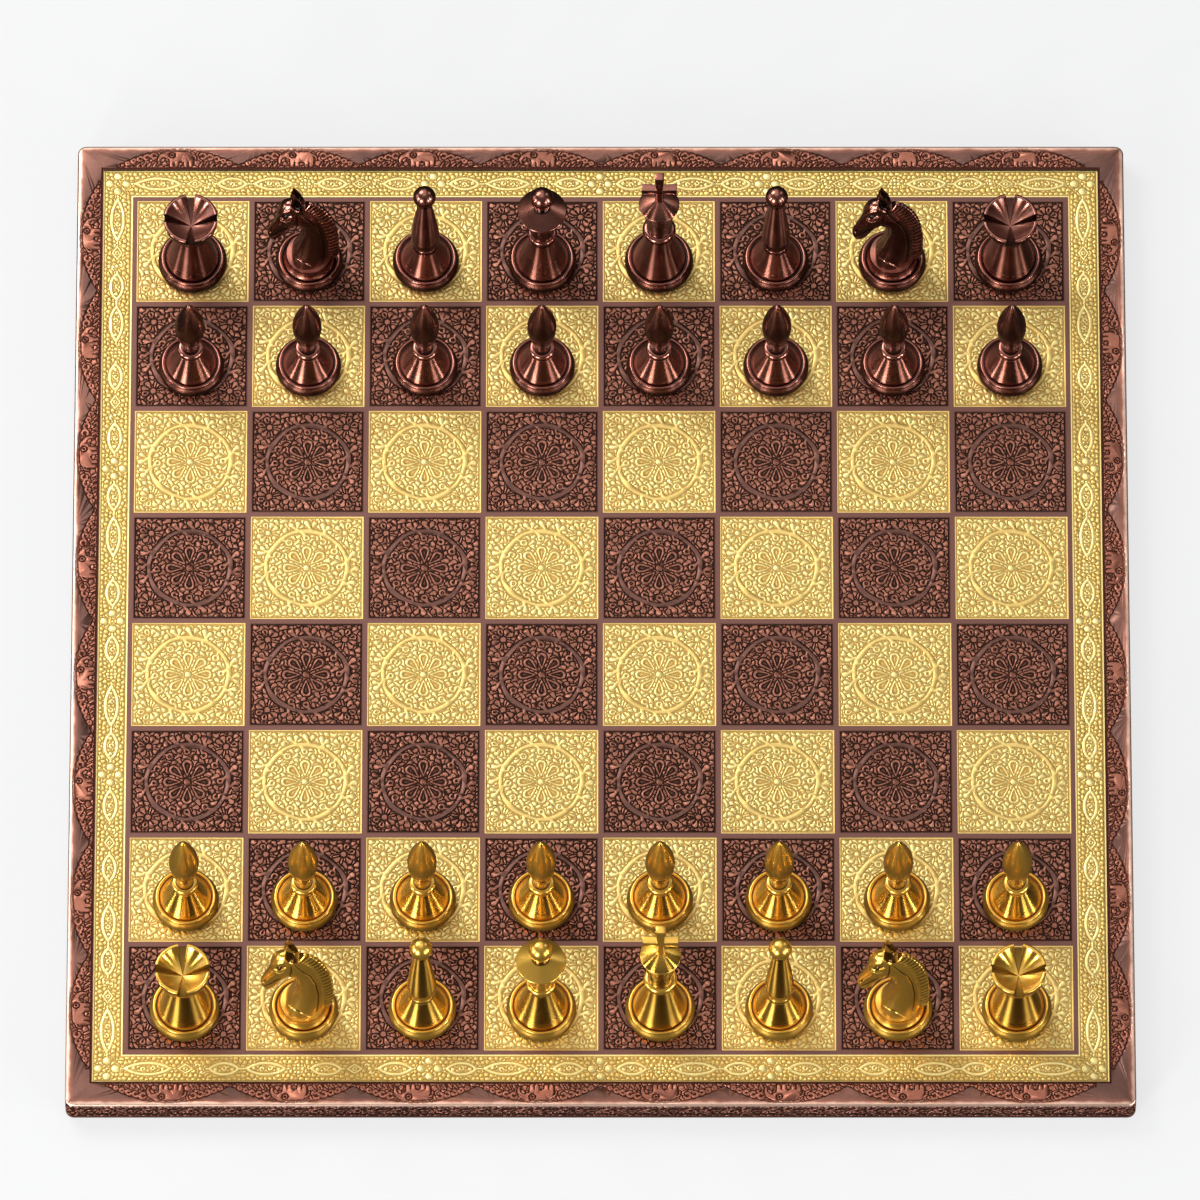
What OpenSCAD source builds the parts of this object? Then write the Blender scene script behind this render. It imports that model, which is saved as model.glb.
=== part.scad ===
/* [Board] */
// Width of the square board, over the copper frame
board_w = 360; // [300:1:440]
// Radius of the board's outer corners
corner_r = 3; // [2:0.5:6]
// Width of the copper frame, seen from above
frame_w = 9; // [6:0.5:14]
// Height of the frame's top above the wooden core
frame_rise = 2; // [1.6:0.1:4]
// Thickness of the frame's outer side, which covers the core's edge
skirt_t = 0.8; // [0.6:0.1:1.6]
// Radius along the frame's top outer edge
frame_edge_r = 0.8; // [0.4:0.1:1.5]
// Height that the frame's outer side stops short of the table
skirt_gap = 1; // [0.5:0.1:2]
// Width of the brass border between the frame and the squares
border_w = 10.2; // [6:0.1:16]
// Width of the raised rim along each edge of the brass border
border_rim_w = 0.7; // [0.4:0.1:1.5]
// Depth of the brass border's ornament ground below its rims
border_sink = 0.35; // [0.2:0.05:0.6]
// Thickness of the border, the bars and the squares
plate_t = 1; // [0.8:0.1:1.5]
// Width of the bars between the squares
bar_w = 1.6; // [1:0.1:3]
// Thickness of the wooden core
core_t = 8; // [5:0.5:14]
// Thickness of the felt under the board
felt_t = 1; // [0.6:0.1:2]
// Distance from the board's edge to the felt
felt_inset = 3; // [2:0.5:8]

/* [Feet of the men] */
// Height of the rounded foot, up to the top of its bead
foot_h = 5.8; // [5:0.1:8]
// Height of the foot's widest part
foot_belly_h = 2.7; // [2.2:0.1:3.2]
// How far the foot draws in from its widest part to its bottom edge
foot_tuck = 0.75; // [0.4:0.05:1.5]
// Radius of the bead along the top of the foot
bead_r = 0.55; // [0.35:0.05:0.8]
// Distance from the foot's widest part in to the bead's centre
bead_inset = 1.5; // [1.1:0.05:2.4]
// Width of the groove between the bead and the cone
groove_w = 0.3; // [0.2:0.05:0.6]
// Depth of that groove below the bead's top
groove_d = 0.9; // [0.5:0.05:1.4]
// Thickness of the felt disc that shows under the foot
disc_t = 0.6; // [0.4:0.1:1.2]
// Distance from the foot's bottom edge in to the felt disc's edge
disc_inset = 0.6; // [0.3:0.1:2]
// Distance from a square's centre to where a man stands, towards the viewer
stand_off = 5; // [0:0.5:7]

/* [Pawn] */
// Widest radius of the pawn's foot
pawn_foot_r = 11.2; // [9:0.1:13]
// Height of the whole pawn
pawn_h = 50; // [44:0.5:58]
// Height of the top of the pawn's cone
pawn_cone_h = 15.4; // [12:0.1:18]
// Radius of the top of the pawn's cone
pawn_cone_r = 3.5; // [2.8:0.1:4]
// Outer radius of the pawn's collar
pawn_collar_r = 4.6; // [4.3:0.1:5.6]
// Height of the pawn's collar
pawn_collar_h = 2.6; // [2:0.1:3.4]
// Radius of the neck under the pawn's bud
pawn_neck_r = 2.9; // [2.2:0.1:3.2]
// Widest radius of the pawn's bud
pawn_bud_r = 5; // [4:0.1:6]
// Height of the widest part of the bud
pawn_belly_h = 33.5; // [28:0.5:38]

/* [Bishop] */
// Widest radius of the bishop's foot
bishop_foot_r = 11.4; // [9:0.1:13]
// Height of the whole bishop
bishop_h = 56; // [50:0.5:64]
// Height of the bright edge where cone and body meet
bishop_cone_h = 16.6; // [13:0.1:18]
// Radius of that edge
bishop_cone_r = 3.9; // [3.2:0.1:4.4]
// Widest radius of the bishop's body
bishop_body_r = 4.9; // [4.4:0.1:5.6]
// Height of the widest part of the body
bishop_body_h = 20.5; // [19:0.5:24]
// Radius of the neck under the ball
bishop_neck_r = 2.15; // [1.7:0.05:2.6]
// Radius of the bishop's ball
bishop_ball_r = 3.85; // [3:0.05:4.4]

/* [Queen] */
// Widest radius of the queen's foot
queen_foot_r = 11.75; // [9:0.05:13]
// Height of the whole queen
queen_h = 55; // [52:0.5:60]
// Height of the top of the queen's cone
queen_cone_h = 22.8; // [18:0.1:24]
// Radius of the top of the queen's cone
queen_cone_r = 3.8; // [3.2:0.1:4.4]
// Outer radius of the queen's collar
queen_collar_r = 5.1; // [4.7:0.1:6]
// Height of the queen's collar
queen_collar_h = 2.8; // [2:0.1:3.6]
// Radius of the narrowest part of the queen's bell
queen_bell_r = 4.1; // [3.4:0.1:4.6]
// Radius of the queen's brim
queen_brim_r = 8.4; // [7:0.1:9.4]
// Height of the queen's brim
queen_brim_h = 41.6; // [37:0.1:42]
// Radius of the queen's ball
queen_ball_r = 4.05; // [3.4:0.05:4.4]
// Radius of the neck under that ball
queen_neck_r = 2.8; // [2.2:0.1:3.2]

/* [King] */
// Widest radius of the king's foot
king_foot_r = 11.75; // [9:0.05:13]
// Height of the whole king, to the top of the cross
king_h = 68; // [64:0.5:76]
// Height of the top of the king's cone
king_cone_h = 25.8; // [20:0.1:27]
// Radius of the top of the king's cone
king_cone_r = 4; // [3.4:0.1:4.6]
// Outer radius of the king's collar
king_collar_r = 5.7; // [5.3:0.1:6.4]
// Height of the king's collar
king_collar_h = 3; // [2:0.1:3.8]
// Radius of the narrowest part of the king's crown
king_crown_r = 4.3; // [3.6:0.1:4.8]
// Radius of the crown's rim
king_rim_r = 6.9; // [6:0.1:8]
// Height of the crown's rim
king_rim_h = 46.6; // [42:0.1:48]
// Span of the cross over its arms
cross_span = 12; // [8:0.5:16]
// Width of a cross bar at its middle
cross_waist = 2.2; // [1.6:0.1:2.8]
// Width of a cross bar at its end
cross_flare = 3.3; // [3:0.1:4.4]
// Thickness of the cross
cross_t = 2.7; // [1.8:0.1:3.2]
// Height of the cross arms above the top of the crown
cross_arm_h = 8; // [6:0.5:10]

/* [Rook] */
// Widest radius of the rook's foot
rook_foot_r = 11.75; // [9:0.05:13]
// Height of the whole rook
rook_h = 36; // [32:0.5:44]
// Height of the rook's waist
rook_waist_h = 24.4; // [20:0.1:25]
// Radius of the waist
rook_waist_r = 4.35; // [3.6:0.05:5.4]
// Radius of the bowl's rim
rook_rim_r = 9.4; // [8:0.1:10.6]
// Width of the bowl's rim
rook_rim_w = 1.5; // [1:0.1:2.2]
// Depth of the bowl
rook_bowl_d = 6.2; // [4:0.1:6.6]
// Width of each of the four slots at the rim
slot_w = 3.6; // [2:0.1:5]
// Depth of those slots at the rim
slot_d = 2.4; // [1.5:0.1:4]

/* [Knight] */
// Widest radius of the knight's foot
knight_foot_r = 11.6; // [9:0.1:13]
// Height of the whole knight, to its ear tips
knight_h = 57; // [52:0.5:66]
// Radius of the turned plinth under the horse
plinth_r = 8.6; // [8:0.1:9.2]
// Height of the plinth above the foot
plinth_rise = 3.2; // [2.4:0.1:4.4]
// Width of the horse across its cheeks
cheek_w = 7; // [6:0.1:9]
// Width of the horse's muzzle
muzzle_w = 4.6; // [4:0.1:6]
// Width of the mane at its ridges
mane_w = 5; // [4:0.1:6]
// Depth of the grooves between the ridges
mane_groove = 0.7; // [0.4:0.05:1]
// How far the mane stands out from the neck
mane_h = 3.4; // [2.6:0.1:4]
// Number of ridges along the mane
ridges = 21; // [16:1:26]
// Distance between the two ears
ear_gap = 3.8; // [3.4:0.1:4.6]
// Length of each ear
ear_l = 12.5; // [10:0.1:14]
// Width of each ear at its root
ear_w = 4.8; // [3.8:0.1:5.4]

/* [Hidden] */
$fn = 64;
SQUARES = 8;
MEN = ["rook_a", "knight_b", "bishop_c", "queen", "king", "bishop_f", "knight_g", "rook_h"];
KINDS = ["rook", "knight", "bishop", "queen", "king", "bishop", "knight", "rook"];
FILES = ["a", "b", "c", "d", "e", "f", "g", "h"];
PAWNS = [for (f = FILES) str("pawn_", f)];
SIDES = ["copper", "gold"];
BOARD = ["felt_base", "core_panel", "copper_frame", "brass_border", "lattice", "light_squares", "dark_squares"];

core_w = board_w - 2 * skirt_t;
border_out = board_w - 2 * frame_w;
border_in = border_out - 2 * border_w;
pitch = (border_in - bar_w) / SQUARES;
tile_w = pitch - bar_w;
core_top = felt_t + core_t;
play_z = core_top + plate_t;
frame_top = core_top + frame_rise;

function side_colour(side) = side == "gold" ? "goldenrod" : "#7a4636";
function square_x(col) = (col - (SQUARES - 1) / 2) * pitch;
function square_y(row) = (row - (SQUARES - 1) / 2) * pitch;

// The gold side stands nearest the viewer, and the copper side opposite it
function back_row(side) = side == "gold" ? 0 : SQUARES - 1;
function pawn_row(side) = side == "gold" ? 1 : SQUARES - 2;

// Points on a cubic curve from a to d, steered by b and c
function curve(a, b, c, d, n = 8) =
    [for (i = [0:n]) let (t = i / n, s = 1 - t)
        s * s * s * a + 3 * s * s * t * b + 3 * s * t * t * c + t * t * t * d];

// Points on an arc round c, from angle a0 to a1, stretched by h along the height
function arc(c, r, h, a0, a1, n = 8) =
    [for (i = [0:n]) let (a = a0 + (a1 - a0) * i / n) [c.x + r * cos(a), c.y + h * sin(a)]];

/* The outline of a foot of widest radius r, from the axis out, up over the bead and down into the groove.
   Its last point is where the cone starts. */
function cone_start(r) = r - bead_inset - bead_r - groove_w;
function foot(r) = let (
        edge = r - foot_tuck,
        bead_x = r - bead_inset,
        bead_z = foot_h - bead_r,
        floor_z = foot_h - groove_d
    ) concat(
        [[0, disc_t]],
        curve([edge, disc_t], [r - 0.1, disc_t + 0.5], [r, foot_belly_h - 0.9], [r, foot_belly_h], 5),
        curve([r, foot_belly_h], [r, foot_belly_h + 1.3], [bead_x + bead_r + 0.4, bead_z - 0.9],
              [bead_x + bead_r, bead_z], 5),
        arc([bead_x, bead_z], bead_r, bead_r, 30, 180, 5),
        [[bead_x - bead_r, floor_z], [cone_start(r), floor_z]]
    );

// A rounded collar of outer radius r, between heights z and z + h, over the inner radius a below and b above
function collar(r, z, h, a, b) = concat([[a, z]], arc([r - h / 2, z + h / 2], h / 2, h / 2, -80, 80, 8), [[b, z + h]]);

// A solid turned from an outline that starts and ends on the axis
module turned(outline) {
    rotate_extrude() polygon(outline);
}

module felt_disc(foot_r) {
    color("darkgreen") cylinder(r = foot_r - foot_tuck - disc_inset, h = disc_t);
}

module pawn() {
    collar_top = pawn_cone_h + pawn_collar_h;
    turned(concat(
        foot(pawn_foot_r),
        collar(pawn_collar_r, pawn_cone_h, pawn_collar_h, pawn_cone_r, pawn_neck_r),
        curve([pawn_neck_r, collar_top + 0.3], [pawn_neck_r + 0.1, collar_top + 5],
              [pawn_bud_r, pawn_belly_h - 6], [pawn_bud_r, pawn_belly_h]),
        curve([pawn_bud_r, pawn_belly_h], [pawn_bud_r, pawn_belly_h + 5.5],
              [pawn_bud_r * 0.5, pawn_h - 3.6], [0, pawn_h])
    ));
}

module bishop() {
    ball_z = bishop_h - bishop_ball_r;
    ball_foot = -acos(bishop_neck_r / bishop_ball_r);
    turned(concat(
        foot(bishop_foot_r),
        [[bishop_cone_r, bishop_cone_h]],
        arc([bishop_cone_r, bishop_cone_h + 0.35], 0.35, 0.35, -60, 90, 4),
        curve([bishop_cone_r - 0.25, bishop_cone_h + 0.9], [bishop_cone_r + 0.6, bishop_cone_h + 1.4],
              [bishop_body_r, bishop_body_h - 1.6], [bishop_body_r, bishop_body_h], 6),
        curve([bishop_body_r, bishop_body_h], [bishop_body_r, bishop_body_h + 7],
              [bishop_neck_r + 1.2, ball_z - 14], [bishop_neck_r, ball_z + bishop_ball_r * sin(ball_foot)]),
        arc([0, ball_z], bishop_ball_r, bishop_ball_r, ball_foot, 90, 14)
    ));
}

module queen() {
    bell_z = queen_cone_h + queen_collar_h;
    ball_z = queen_h - queen_ball_r;
    ball_foot = -acos(queen_neck_r / queen_ball_r);
    cap_z = queen_brim_h + 1 + (queen_brim_r - queen_neck_r) * 0.42;
    turned(concat(
        foot(queen_foot_r),
        collar(queen_collar_r, queen_cone_h, queen_collar_h, queen_cone_r, queen_bell_r),
        curve([queen_bell_r, bell_z + 0.6], [queen_bell_r + 0.1, bell_z + 8],
              [queen_bell_r + 1.4, queen_brim_h - 3.4], [queen_brim_r - 0.5, queen_brim_h - 0.5]),
        arc([queen_brim_r - 0.5, queen_brim_h], 0.5, 0.5, -60, 70, 5),
        [[queen_neck_r + 0.7, cap_z], [queen_neck_r, cap_z + 0.3]],
        [[queen_neck_r, ball_z + queen_ball_r * sin(ball_foot)]],
        arc([0, ball_z], queen_ball_r, queen_ball_r, ball_foot, 90, 14)
    ));
}

// One bar of the cross, from its middle to its end, along +Y of the flat outline
module cross_arm(length) {
    polygon([[-cross_waist / 2, 0], [-cross_waist / 2, length * 0.35], [-cross_flare / 2, length],
             [cross_flare / 2, length], [cross_waist / 2, length * 0.35], [cross_waist / 2, 0]]);
}

module king() {
    crown_z = king_cone_h + king_collar_h;
    cap_z = king_rim_h + (king_rim_r - cross_waist / 2) * 0.62;
    arm_z = cap_z + cross_arm_h;
    union() {
        turned(concat(
            foot(king_foot_r),
            collar(king_collar_r, king_cone_h, king_collar_h, king_cone_r, king_crown_r),
            curve([king_crown_r, crown_z + 0.6], [king_crown_r + 0.1, crown_z + 8],
                  [king_crown_r + 0.8, king_rim_h - 6], [king_rim_r - 0.4, king_rim_h - 0.4]),
            arc([king_rim_r - 0.4, king_rim_h], 0.4, 0.4, -50, 60, 4),
            [[cross_waist / 2 + 0.7, cap_z], [0, cap_z + 0.4]]
        ));
        translate([0, cross_t / 2, arm_z]) rotate([90, 0, 0]) linear_extrude(cross_t) {
            cross_arm(king_h - arm_z);
            rotate(90) cross_arm(cross_span / 2);
            rotate(-90) cross_arm(cross_span / 2);
            rotate(180) cross_arm(arm_z - cap_z + 1);
        }
    }
}

module rook() {
    bowl_z = rook_h - rook_bowl_d;
    difference() {
        turned(concat(
            foot(rook_foot_r),
            curve([cone_start(rook_foot_r), foot_h - groove_d], [7.6, 9.5],
                  [rook_waist_r + 1.1, rook_waist_h - 6], [rook_waist_r, rook_waist_h]),
            arc([rook_waist_r, rook_waist_h + 0.35], 0.35, 0.35, -60, 60, 4),
            curve([rook_waist_r + 0.2, rook_waist_h + 0.8], [rook_waist_r + 3.2, rook_waist_h + 2.6],
                  [rook_rim_r - 0.5, rook_h - 6], [rook_rim_r, rook_h - 0.3]),
            [[rook_rim_r - 0.3, rook_h], [rook_rim_r - rook_rim_w, rook_h], [0, bowl_z]]
        ));
        for (a = [0:90:270]) rotate(a) rook_slot(bowl_z);
    }
}

// One slot along +X: a wedge that opens from the bowl's middle, its floor rising to the step at the rim
module rook_slot(bowl_z) {
    loft([for (end = [[0.3, 0.16, bowl_z - 0.1], [rook_rim_r + 1, slot_w, rook_h - slot_d]]) let (h = end[1] / 2)
        [[end[0], -h, end[2]], [end[0], h, end[2]], [end[0], h, rook_h + 1], [end[0], -h, rook_h + 1]]]);
}

/* The horse, facing -X. Each row is one slice through neck or head: the front point and the back point of the slice
   as [x, z, x, z], then its half width. The slices stand level in the neck and fan round the throat into the head.
   The rows were drawn for a knight of height HORSE_H with half widths CHEEK and MUZZLE at cheeks and muzzle. */
HORSE_H = 57;
CHEEK = 3.5;
MUZZLE = 2.3;
SLICES = [
    [-6.4, 7.6, 6.7, 7.6, 6.7],
    [-6.1, 10.4, 6.9, 11.0, 6.1],
    [-5.1, 13.6, 7.0, 16.0, 5.3],
    [-4.0, 17.0, 6.9, 22.0, 4.5],
    [-2.9, 21.4, 6.3, 28.6, 3.9],
    [-2.2, 26.0, 5.1, 35.2, 3.6],
    [-2.0, 30.2, 3.2, 40.6, 3.5],
    [-2.7, 32.8, 0.6, 44.4, 3.5],
    [-4.1, 33.2, -2.6, 47.0, 3.5],
    [-5.5, 32.2, -5.6, 48.0, 3.5],
    [-6.7, 30.4, -8.2, 46.8, 3.4],
    [-7.6, 28.2, -9.8, 43.2, 3.1],
    [-8.3, 26.0, -10.6, 38.8, 2.8],
    [-9.2, 24.0, -11.4, 34.4, 2.5],
    [-10.4, 22.6, -12.6, 30.8, 2.3],
    [-11.8, 22.4, -13.6, 28.0, 2.1],
    [-13.0, 23.4, -14.0, 26.0, 1.4]
];
function horse_z(z) = foot_h + plinth_rise + (z - 9) * (knight_h - foot_h - plinth_rise) / (HORSE_H - 9);
function horse_w(i) = let (w = SLICES[i][4]) i < 5 ? w : i < 13 ? w * cheek_w / 2 / CHEEK : w * muzzle_w / 2 / MUZZLE;

// One slice's ring of n points, rounder at the back and fuller at the front
function slice_ring(i, n) = let (
        s = SLICES[i],
        a = [s[0], 0, horse_z(s[1])],
        b = [s[2], 0, horse_z(s[3])],
        mid = (a + b) / 2,
        reach = (b - a) / 2,
        w = horse_w(i)
    ) [for (k = [0:n - 1]) let (t = 360 * (k + 0.5) / n)
        mid + reach * cos(t) + [0, w * sign(sin(t)) * pow(abs(sin(t)), 0.8) * (1 - 0.16 * cos(t)), 0]];

// A closed solid through rings of n points each, which run anticlockwise seen from the last ring
module loft(rings) {
    n = len(rings[0]);
    last = (len(rings) - 1) * n;
    polyhedron(
        points = [for (r = rings) each r],
        faces = concat(
            [[for (k = [0:n - 1]) k]],
            [for (j = [0:len(rings) - 2]) for (k = [0:n - 1]) let (a = j * n + k, b = j * n + (k + 1) % n)
                each [[a, b + n, b], [a, a + n, b + n]]],
            [[for (k = [n - 1:-1:0]) last + k]]
        )
    );
}

// The crest that the mane follows, from the foot at 0 up to behind the ears at 1, as a place among the slices
CREST_LOW = -0.6;
CREST_RUN = 8.05;
function crest(t) = let (
        row = CREST_LOW + CREST_RUN * pow(max(t, 0), 0.85),
        i = max(0, min(floor(row), 7)),
        f = row - i,
        p = SLICES[i],
        q = SLICES[i + 1]
    ) [(1 - f) * p[2] + f * q[2], horse_z((1 - f) * p[3] + f * q[3])];
function crest_out(t) = let (d = crest(t + 0.01) - crest(t - 0.01)) [d.y, -d.x] / norm(d);

// One ring of the mane, of half width w at its root, narrowing outwards
function mane_ring(t, w) = let (
        root = crest(t) - crest_out(t) * 1.6,
        tip = crest(t) + crest_out(t) * mane_h * min(1, 0.6 + 5 * t, 0.75 + 4 * (1 - t)),
        shoulder = (root + tip) / 2
    ) [[root.x, -w, root.y], [shoulder.x, -w * 0.8, shoulder.y], [tip.x, -w * 0.3, tip.y],
       [tip.x, w * 0.3, tip.y], [shoulder.x, w * 0.8, shoulder.y], [root.x, w, root.y]];

module mane() {
    loft([for (i = [0:ridges - 1]) let (w = mane_w / 2 * (1 - 0.15 * i / ridges)) each [
        mane_ring(i / ridges, w - mane_groove),
        mane_ring((i + 0.3) / ridges, w),
        mane_ring((i + 0.7) / ridges, w)
    ]]);
}

// A leaf-shaped ear, from its root to its tip, at one side of the poll, leaning forward
module ear(side) {
    loft([for (j = [0:6]) let (
            u = j / 6,
            w = (ear_w / 2 - 0.1) * (1 - pow(u, 1.7)) + 0.1,
            x = -3.2 - 1.3 * u,
            y = side * (ear_gap / 2 + 0.2 * sin(180 * u) - 0.7 * u)
        ) [for (k = [0:7]) let (a = 45 * k)
            [x + w * cos(a), y + w * 0.62 * sin(a), knight_h - ear_l * (1 - u)]]]);
}

module knight() {
    union() {
        turned(concat(
            foot(knight_foot_r),
            [[plinth_r, foot_h]],
            curve([plinth_r, foot_h], [plinth_r - 0.7, foot_h + 1], [plinth_r - 0.9, foot_h + 1.6],
                  [plinth_r - 1, foot_h + plinth_rise], 4),
            [[0, foot_h + plinth_rise]]
        ));
        loft([for (i = [0:len(SLICES) - 1]) slice_ring(i, 20)]);
        mane();
        for (side = [-1, 1]) ear(side);
    }
}

// A square plate of width w with rounded corners
module rounded_square(w, r) {
    for (a = [0, 90]) rotate(a) square([w, w - 2 * r], center = true);
    for (x = [-1, 1]) for (y = [-1, 1]) translate([x, y] * (w / 2 - r)) circle(r);
}

module felt_base() {
    w = board_w - 2 * felt_inset;
    color("darkgreen") translate([-w / 2, -w / 2, 0]) cube([w, w, felt_t]);
}

module core_panel() {
    color("burlywood") translate([0, 0, felt_t]) linear_extrude(core_t)
        rounded_square(core_w, corner_r - skirt_t);
}

// The frame's section, measured in from the board's edge, as far in as reach
module frame_section(reach) {
    e = frame_edge_r;
    polygon(concat(
        [[skirt_t, core_top], [skirt_t, skirt_gap], [0, skirt_gap]],
        arc([e, frame_top - e], e, e, 180, 90, 6),
        [[reach, frame_top], [reach, core_top]]
    ));
}

// Four straight mouldings, joined at each corner by a quarter turn of the section's outer part
module copper_frame() {
    run = board_w - 2 * corner_r;
    color("#6b4436") for (a = [0:90:270]) rotate(a) {
        translate([-run / 2, -board_w / 2, 0]) rotate([90, 0, 90]) linear_extrude(run) frame_section(frame_w);
        translate([run / 2, run / 2, 0]) rotate_extrude(angle = 90)
            translate([corner_r, 0]) mirror([1, 0]) frame_section(corner_r);
    }
}

module brass_border() {
    mid_w = border_out - 2 * border_rim_w;
    low_w = border_in + 2 * border_rim_w;
    color("#e3cf8a") translate([0, 0, core_top]) difference() {
        linear_extrude(plate_t) square(border_out, center = true);
        translate([0, 0, -1]) linear_extrude(plate_t + 2) square(border_in, center = true);
        translate([0, 0, plate_t - border_sink]) linear_extrude(1) difference() {
            square(mid_w, center = true);
            square(low_w, center = true);
        }
    }
}

module lattice() {
    color("#6e4c44") translate([0, 0, core_top]) linear_extrude(plate_t) difference() {
        square(border_in, center = true);
        for (col = [0:SQUARES - 1]) for (row = [0:SQUARES - 1])
            translate([square_x(col), square_y(row)]) square(tile_w, center = true);
    }
}

// The squares of one colour: the near left corner square is dark
module squares(odd) {
    for (col = [0:SQUARES - 1]) for (row = [0:SQUARES - 1])
        if ((col + row) % 2 == odd)
            translate([square_x(col) - tile_w / 2, square_y(row) - tile_w / 2, core_top])
                cube([tile_w, tile_w, plate_t]);
}

module light_squares() {
    color("#f4e29a") squares(1);
}

module dark_squares() {
    color("#8a5a4a") squares(0);
}

// A man of one side on the square at col, row
module man(side, kind, col, row) {
    foot_r = kind == "pawn" ? pawn_foot_r : kind == "rook" ? rook_foot_r : kind == "knight" ? knight_foot_r
        : kind == "bishop" ? bishop_foot_r : kind == "queen" ? queen_foot_r : king_foot_r;
    translate([square_x(col), square_y(row) - stand_off, play_z]) {
        felt_disc(foot_r);
        color(side_colour(side)) {
            if (kind == "pawn") pawn();
            if (kind == "rook") rook();
            if (kind == "knight") knight();
            if (kind == "bishop") bishop();
            if (kind == "queen") queen();
            if (kind == "king") king();
        }
    }
}

felt_base();
core_panel();
copper_frame();
brass_border();
lattice();
light_squares();
dark_squares();
for (side = SIDES) for (col = [0:SQUARES - 1]) {
    man(side, KINDS[col], col, back_row(side));
    man(side, "pawn", col, pawn_row(side));
}
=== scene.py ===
# %% [markdown]
# # A chess set on an embossed metal board
# The board is a wooden panel dressed in thin metal: embossed squares set in a grid of bars, a brass band
# with a chain of pointed ovals, and a patinated copper frame. The men are castings, turned and brushed, one
# side gold and one side antique copper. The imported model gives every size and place, so this script only
# adds the looks.

# %% Load the fixed frame
import math
import random

import bmesh
import bpy
import numpy as np
from mathutils import Matrix, Vector


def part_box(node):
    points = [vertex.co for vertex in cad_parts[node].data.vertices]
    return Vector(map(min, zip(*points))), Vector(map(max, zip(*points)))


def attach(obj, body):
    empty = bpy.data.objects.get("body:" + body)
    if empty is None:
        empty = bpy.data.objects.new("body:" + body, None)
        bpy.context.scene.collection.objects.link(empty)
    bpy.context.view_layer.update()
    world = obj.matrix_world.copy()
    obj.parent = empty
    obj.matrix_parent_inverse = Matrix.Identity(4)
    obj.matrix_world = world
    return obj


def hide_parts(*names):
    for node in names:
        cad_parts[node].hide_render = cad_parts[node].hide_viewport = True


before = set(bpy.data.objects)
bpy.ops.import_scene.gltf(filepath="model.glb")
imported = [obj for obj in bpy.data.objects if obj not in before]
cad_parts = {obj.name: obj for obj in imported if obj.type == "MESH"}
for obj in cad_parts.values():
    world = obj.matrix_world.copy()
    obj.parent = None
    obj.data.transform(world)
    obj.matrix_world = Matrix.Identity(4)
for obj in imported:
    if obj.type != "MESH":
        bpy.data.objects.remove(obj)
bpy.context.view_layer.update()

# %% [markdown]
# Everything is measured in millimetres while it is being shaped, as a maker would, and turned into metres
# when a mesh is made. The board's main sizes are read back from the nodes' boxes, so they can't drift from
# the model.

# %% Sizes of the board, read from the frame
MM = 0.001
SQUARES = 8
BAR_W = 1.6
CORNER_R = 3.0


def size_of(node):
    """Lowest corner, highest corner and extent of a node, in millimetres."""
    low, high = (Vector(corner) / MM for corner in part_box(node))
    return low, high, high - low


frame_low, frame_high, frame_size = size_of("copper_frame")
lattice_low, lattice_high, lattice_size = size_of("lattice")
border_size = size_of("brass_border")[2]
BOARD_W = frame_size.x
FRAME_W = (BOARD_W - border_size.x) / 2
BORDER_W = (border_size.x - lattice_size.x) / 2
PITCH = (lattice_size.x - BAR_W) / SQUARES
SQUARE_W = PITCH - BAR_W
PLAY_Z = lattice_high.z
PLATE_LOW = lattice_low.z
FRAME_TOP = frame_high.z
print(f"board {BOARD_W:.1f} wide, frame {FRAME_W:.1f}, border {BORDER_W:.1f}")
print(f"squares {SQUARE_W:.2f} at a pitch of {PITCH:.2f}")

# %% [markdown]
# ## Camera
# The set was photographed from nearly overhead and from far away, so its sides stay almost parallel. A very
# long lens at six metres does that. The board's middle sits a little below the picture's middle.

# %% Camera
VIEW_ELEVATION = 65.0
CAMERA_DISTANCE = 6.0
SENSOR = 36.0
PICTURE_PX = 1200
BOARD_PX = 1058
BOARD_DROP_PX = 21
BOARD_SHIFT_PX = 0.6

pixel = BOARD_W * MM / BOARD_PX
picture_w = pixel * PICTURE_PX
tilt = math.radians(VIEW_ELEVATION)
aim = Vector((-BOARD_SHIFT_PX * pixel, BOARD_DROP_PX * pixel / math.sin(tilt), PLAY_Z * MM))
camera_data = bpy.data.cameras.new("camera")
camera_data.sensor_width = SENSOR
camera_data.lens = SENSOR * CAMERA_DISTANCE / picture_w
camera_data.clip_start = 0.05
camera_data.clip_end = 60
camera = bpy.data.objects.new("camera", camera_data)
bpy.context.scene.collection.objects.link(camera)
camera.location = aim + CAMERA_DISTANCE * Vector((0, -math.cos(tilt), math.sin(tilt)))
camera.rotation_euler = (aim - camera.location).to_track_quat("-Z", "Y").to_euler()
bpy.context.scene.camera = camera
print(f"lens {camera_data.lens:.0f} mm, picture {picture_w:.3f} m wide")

# %% [markdown]
# ## Light
# Polished metal shows what is round it, so the studio is built of soft panels under a dim sky. The key
# panel stands behind on the left and throws the shadows. A long panel hangs overhead and behind, where flat
# squares seen from the camera reflect it. Two narrow, bright ones stand low in front, and two thin strips
# beside them draw crisp lines of light on the cones. A large panel on the left and a weak one on the right
# fill the rest. The gaps between the panels give the dark bands on the men.

# %% Light panels
bpy.context.scene.view_settings.view_transform = "Standard"
PANEL_DISTANCE = 2.2
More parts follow.
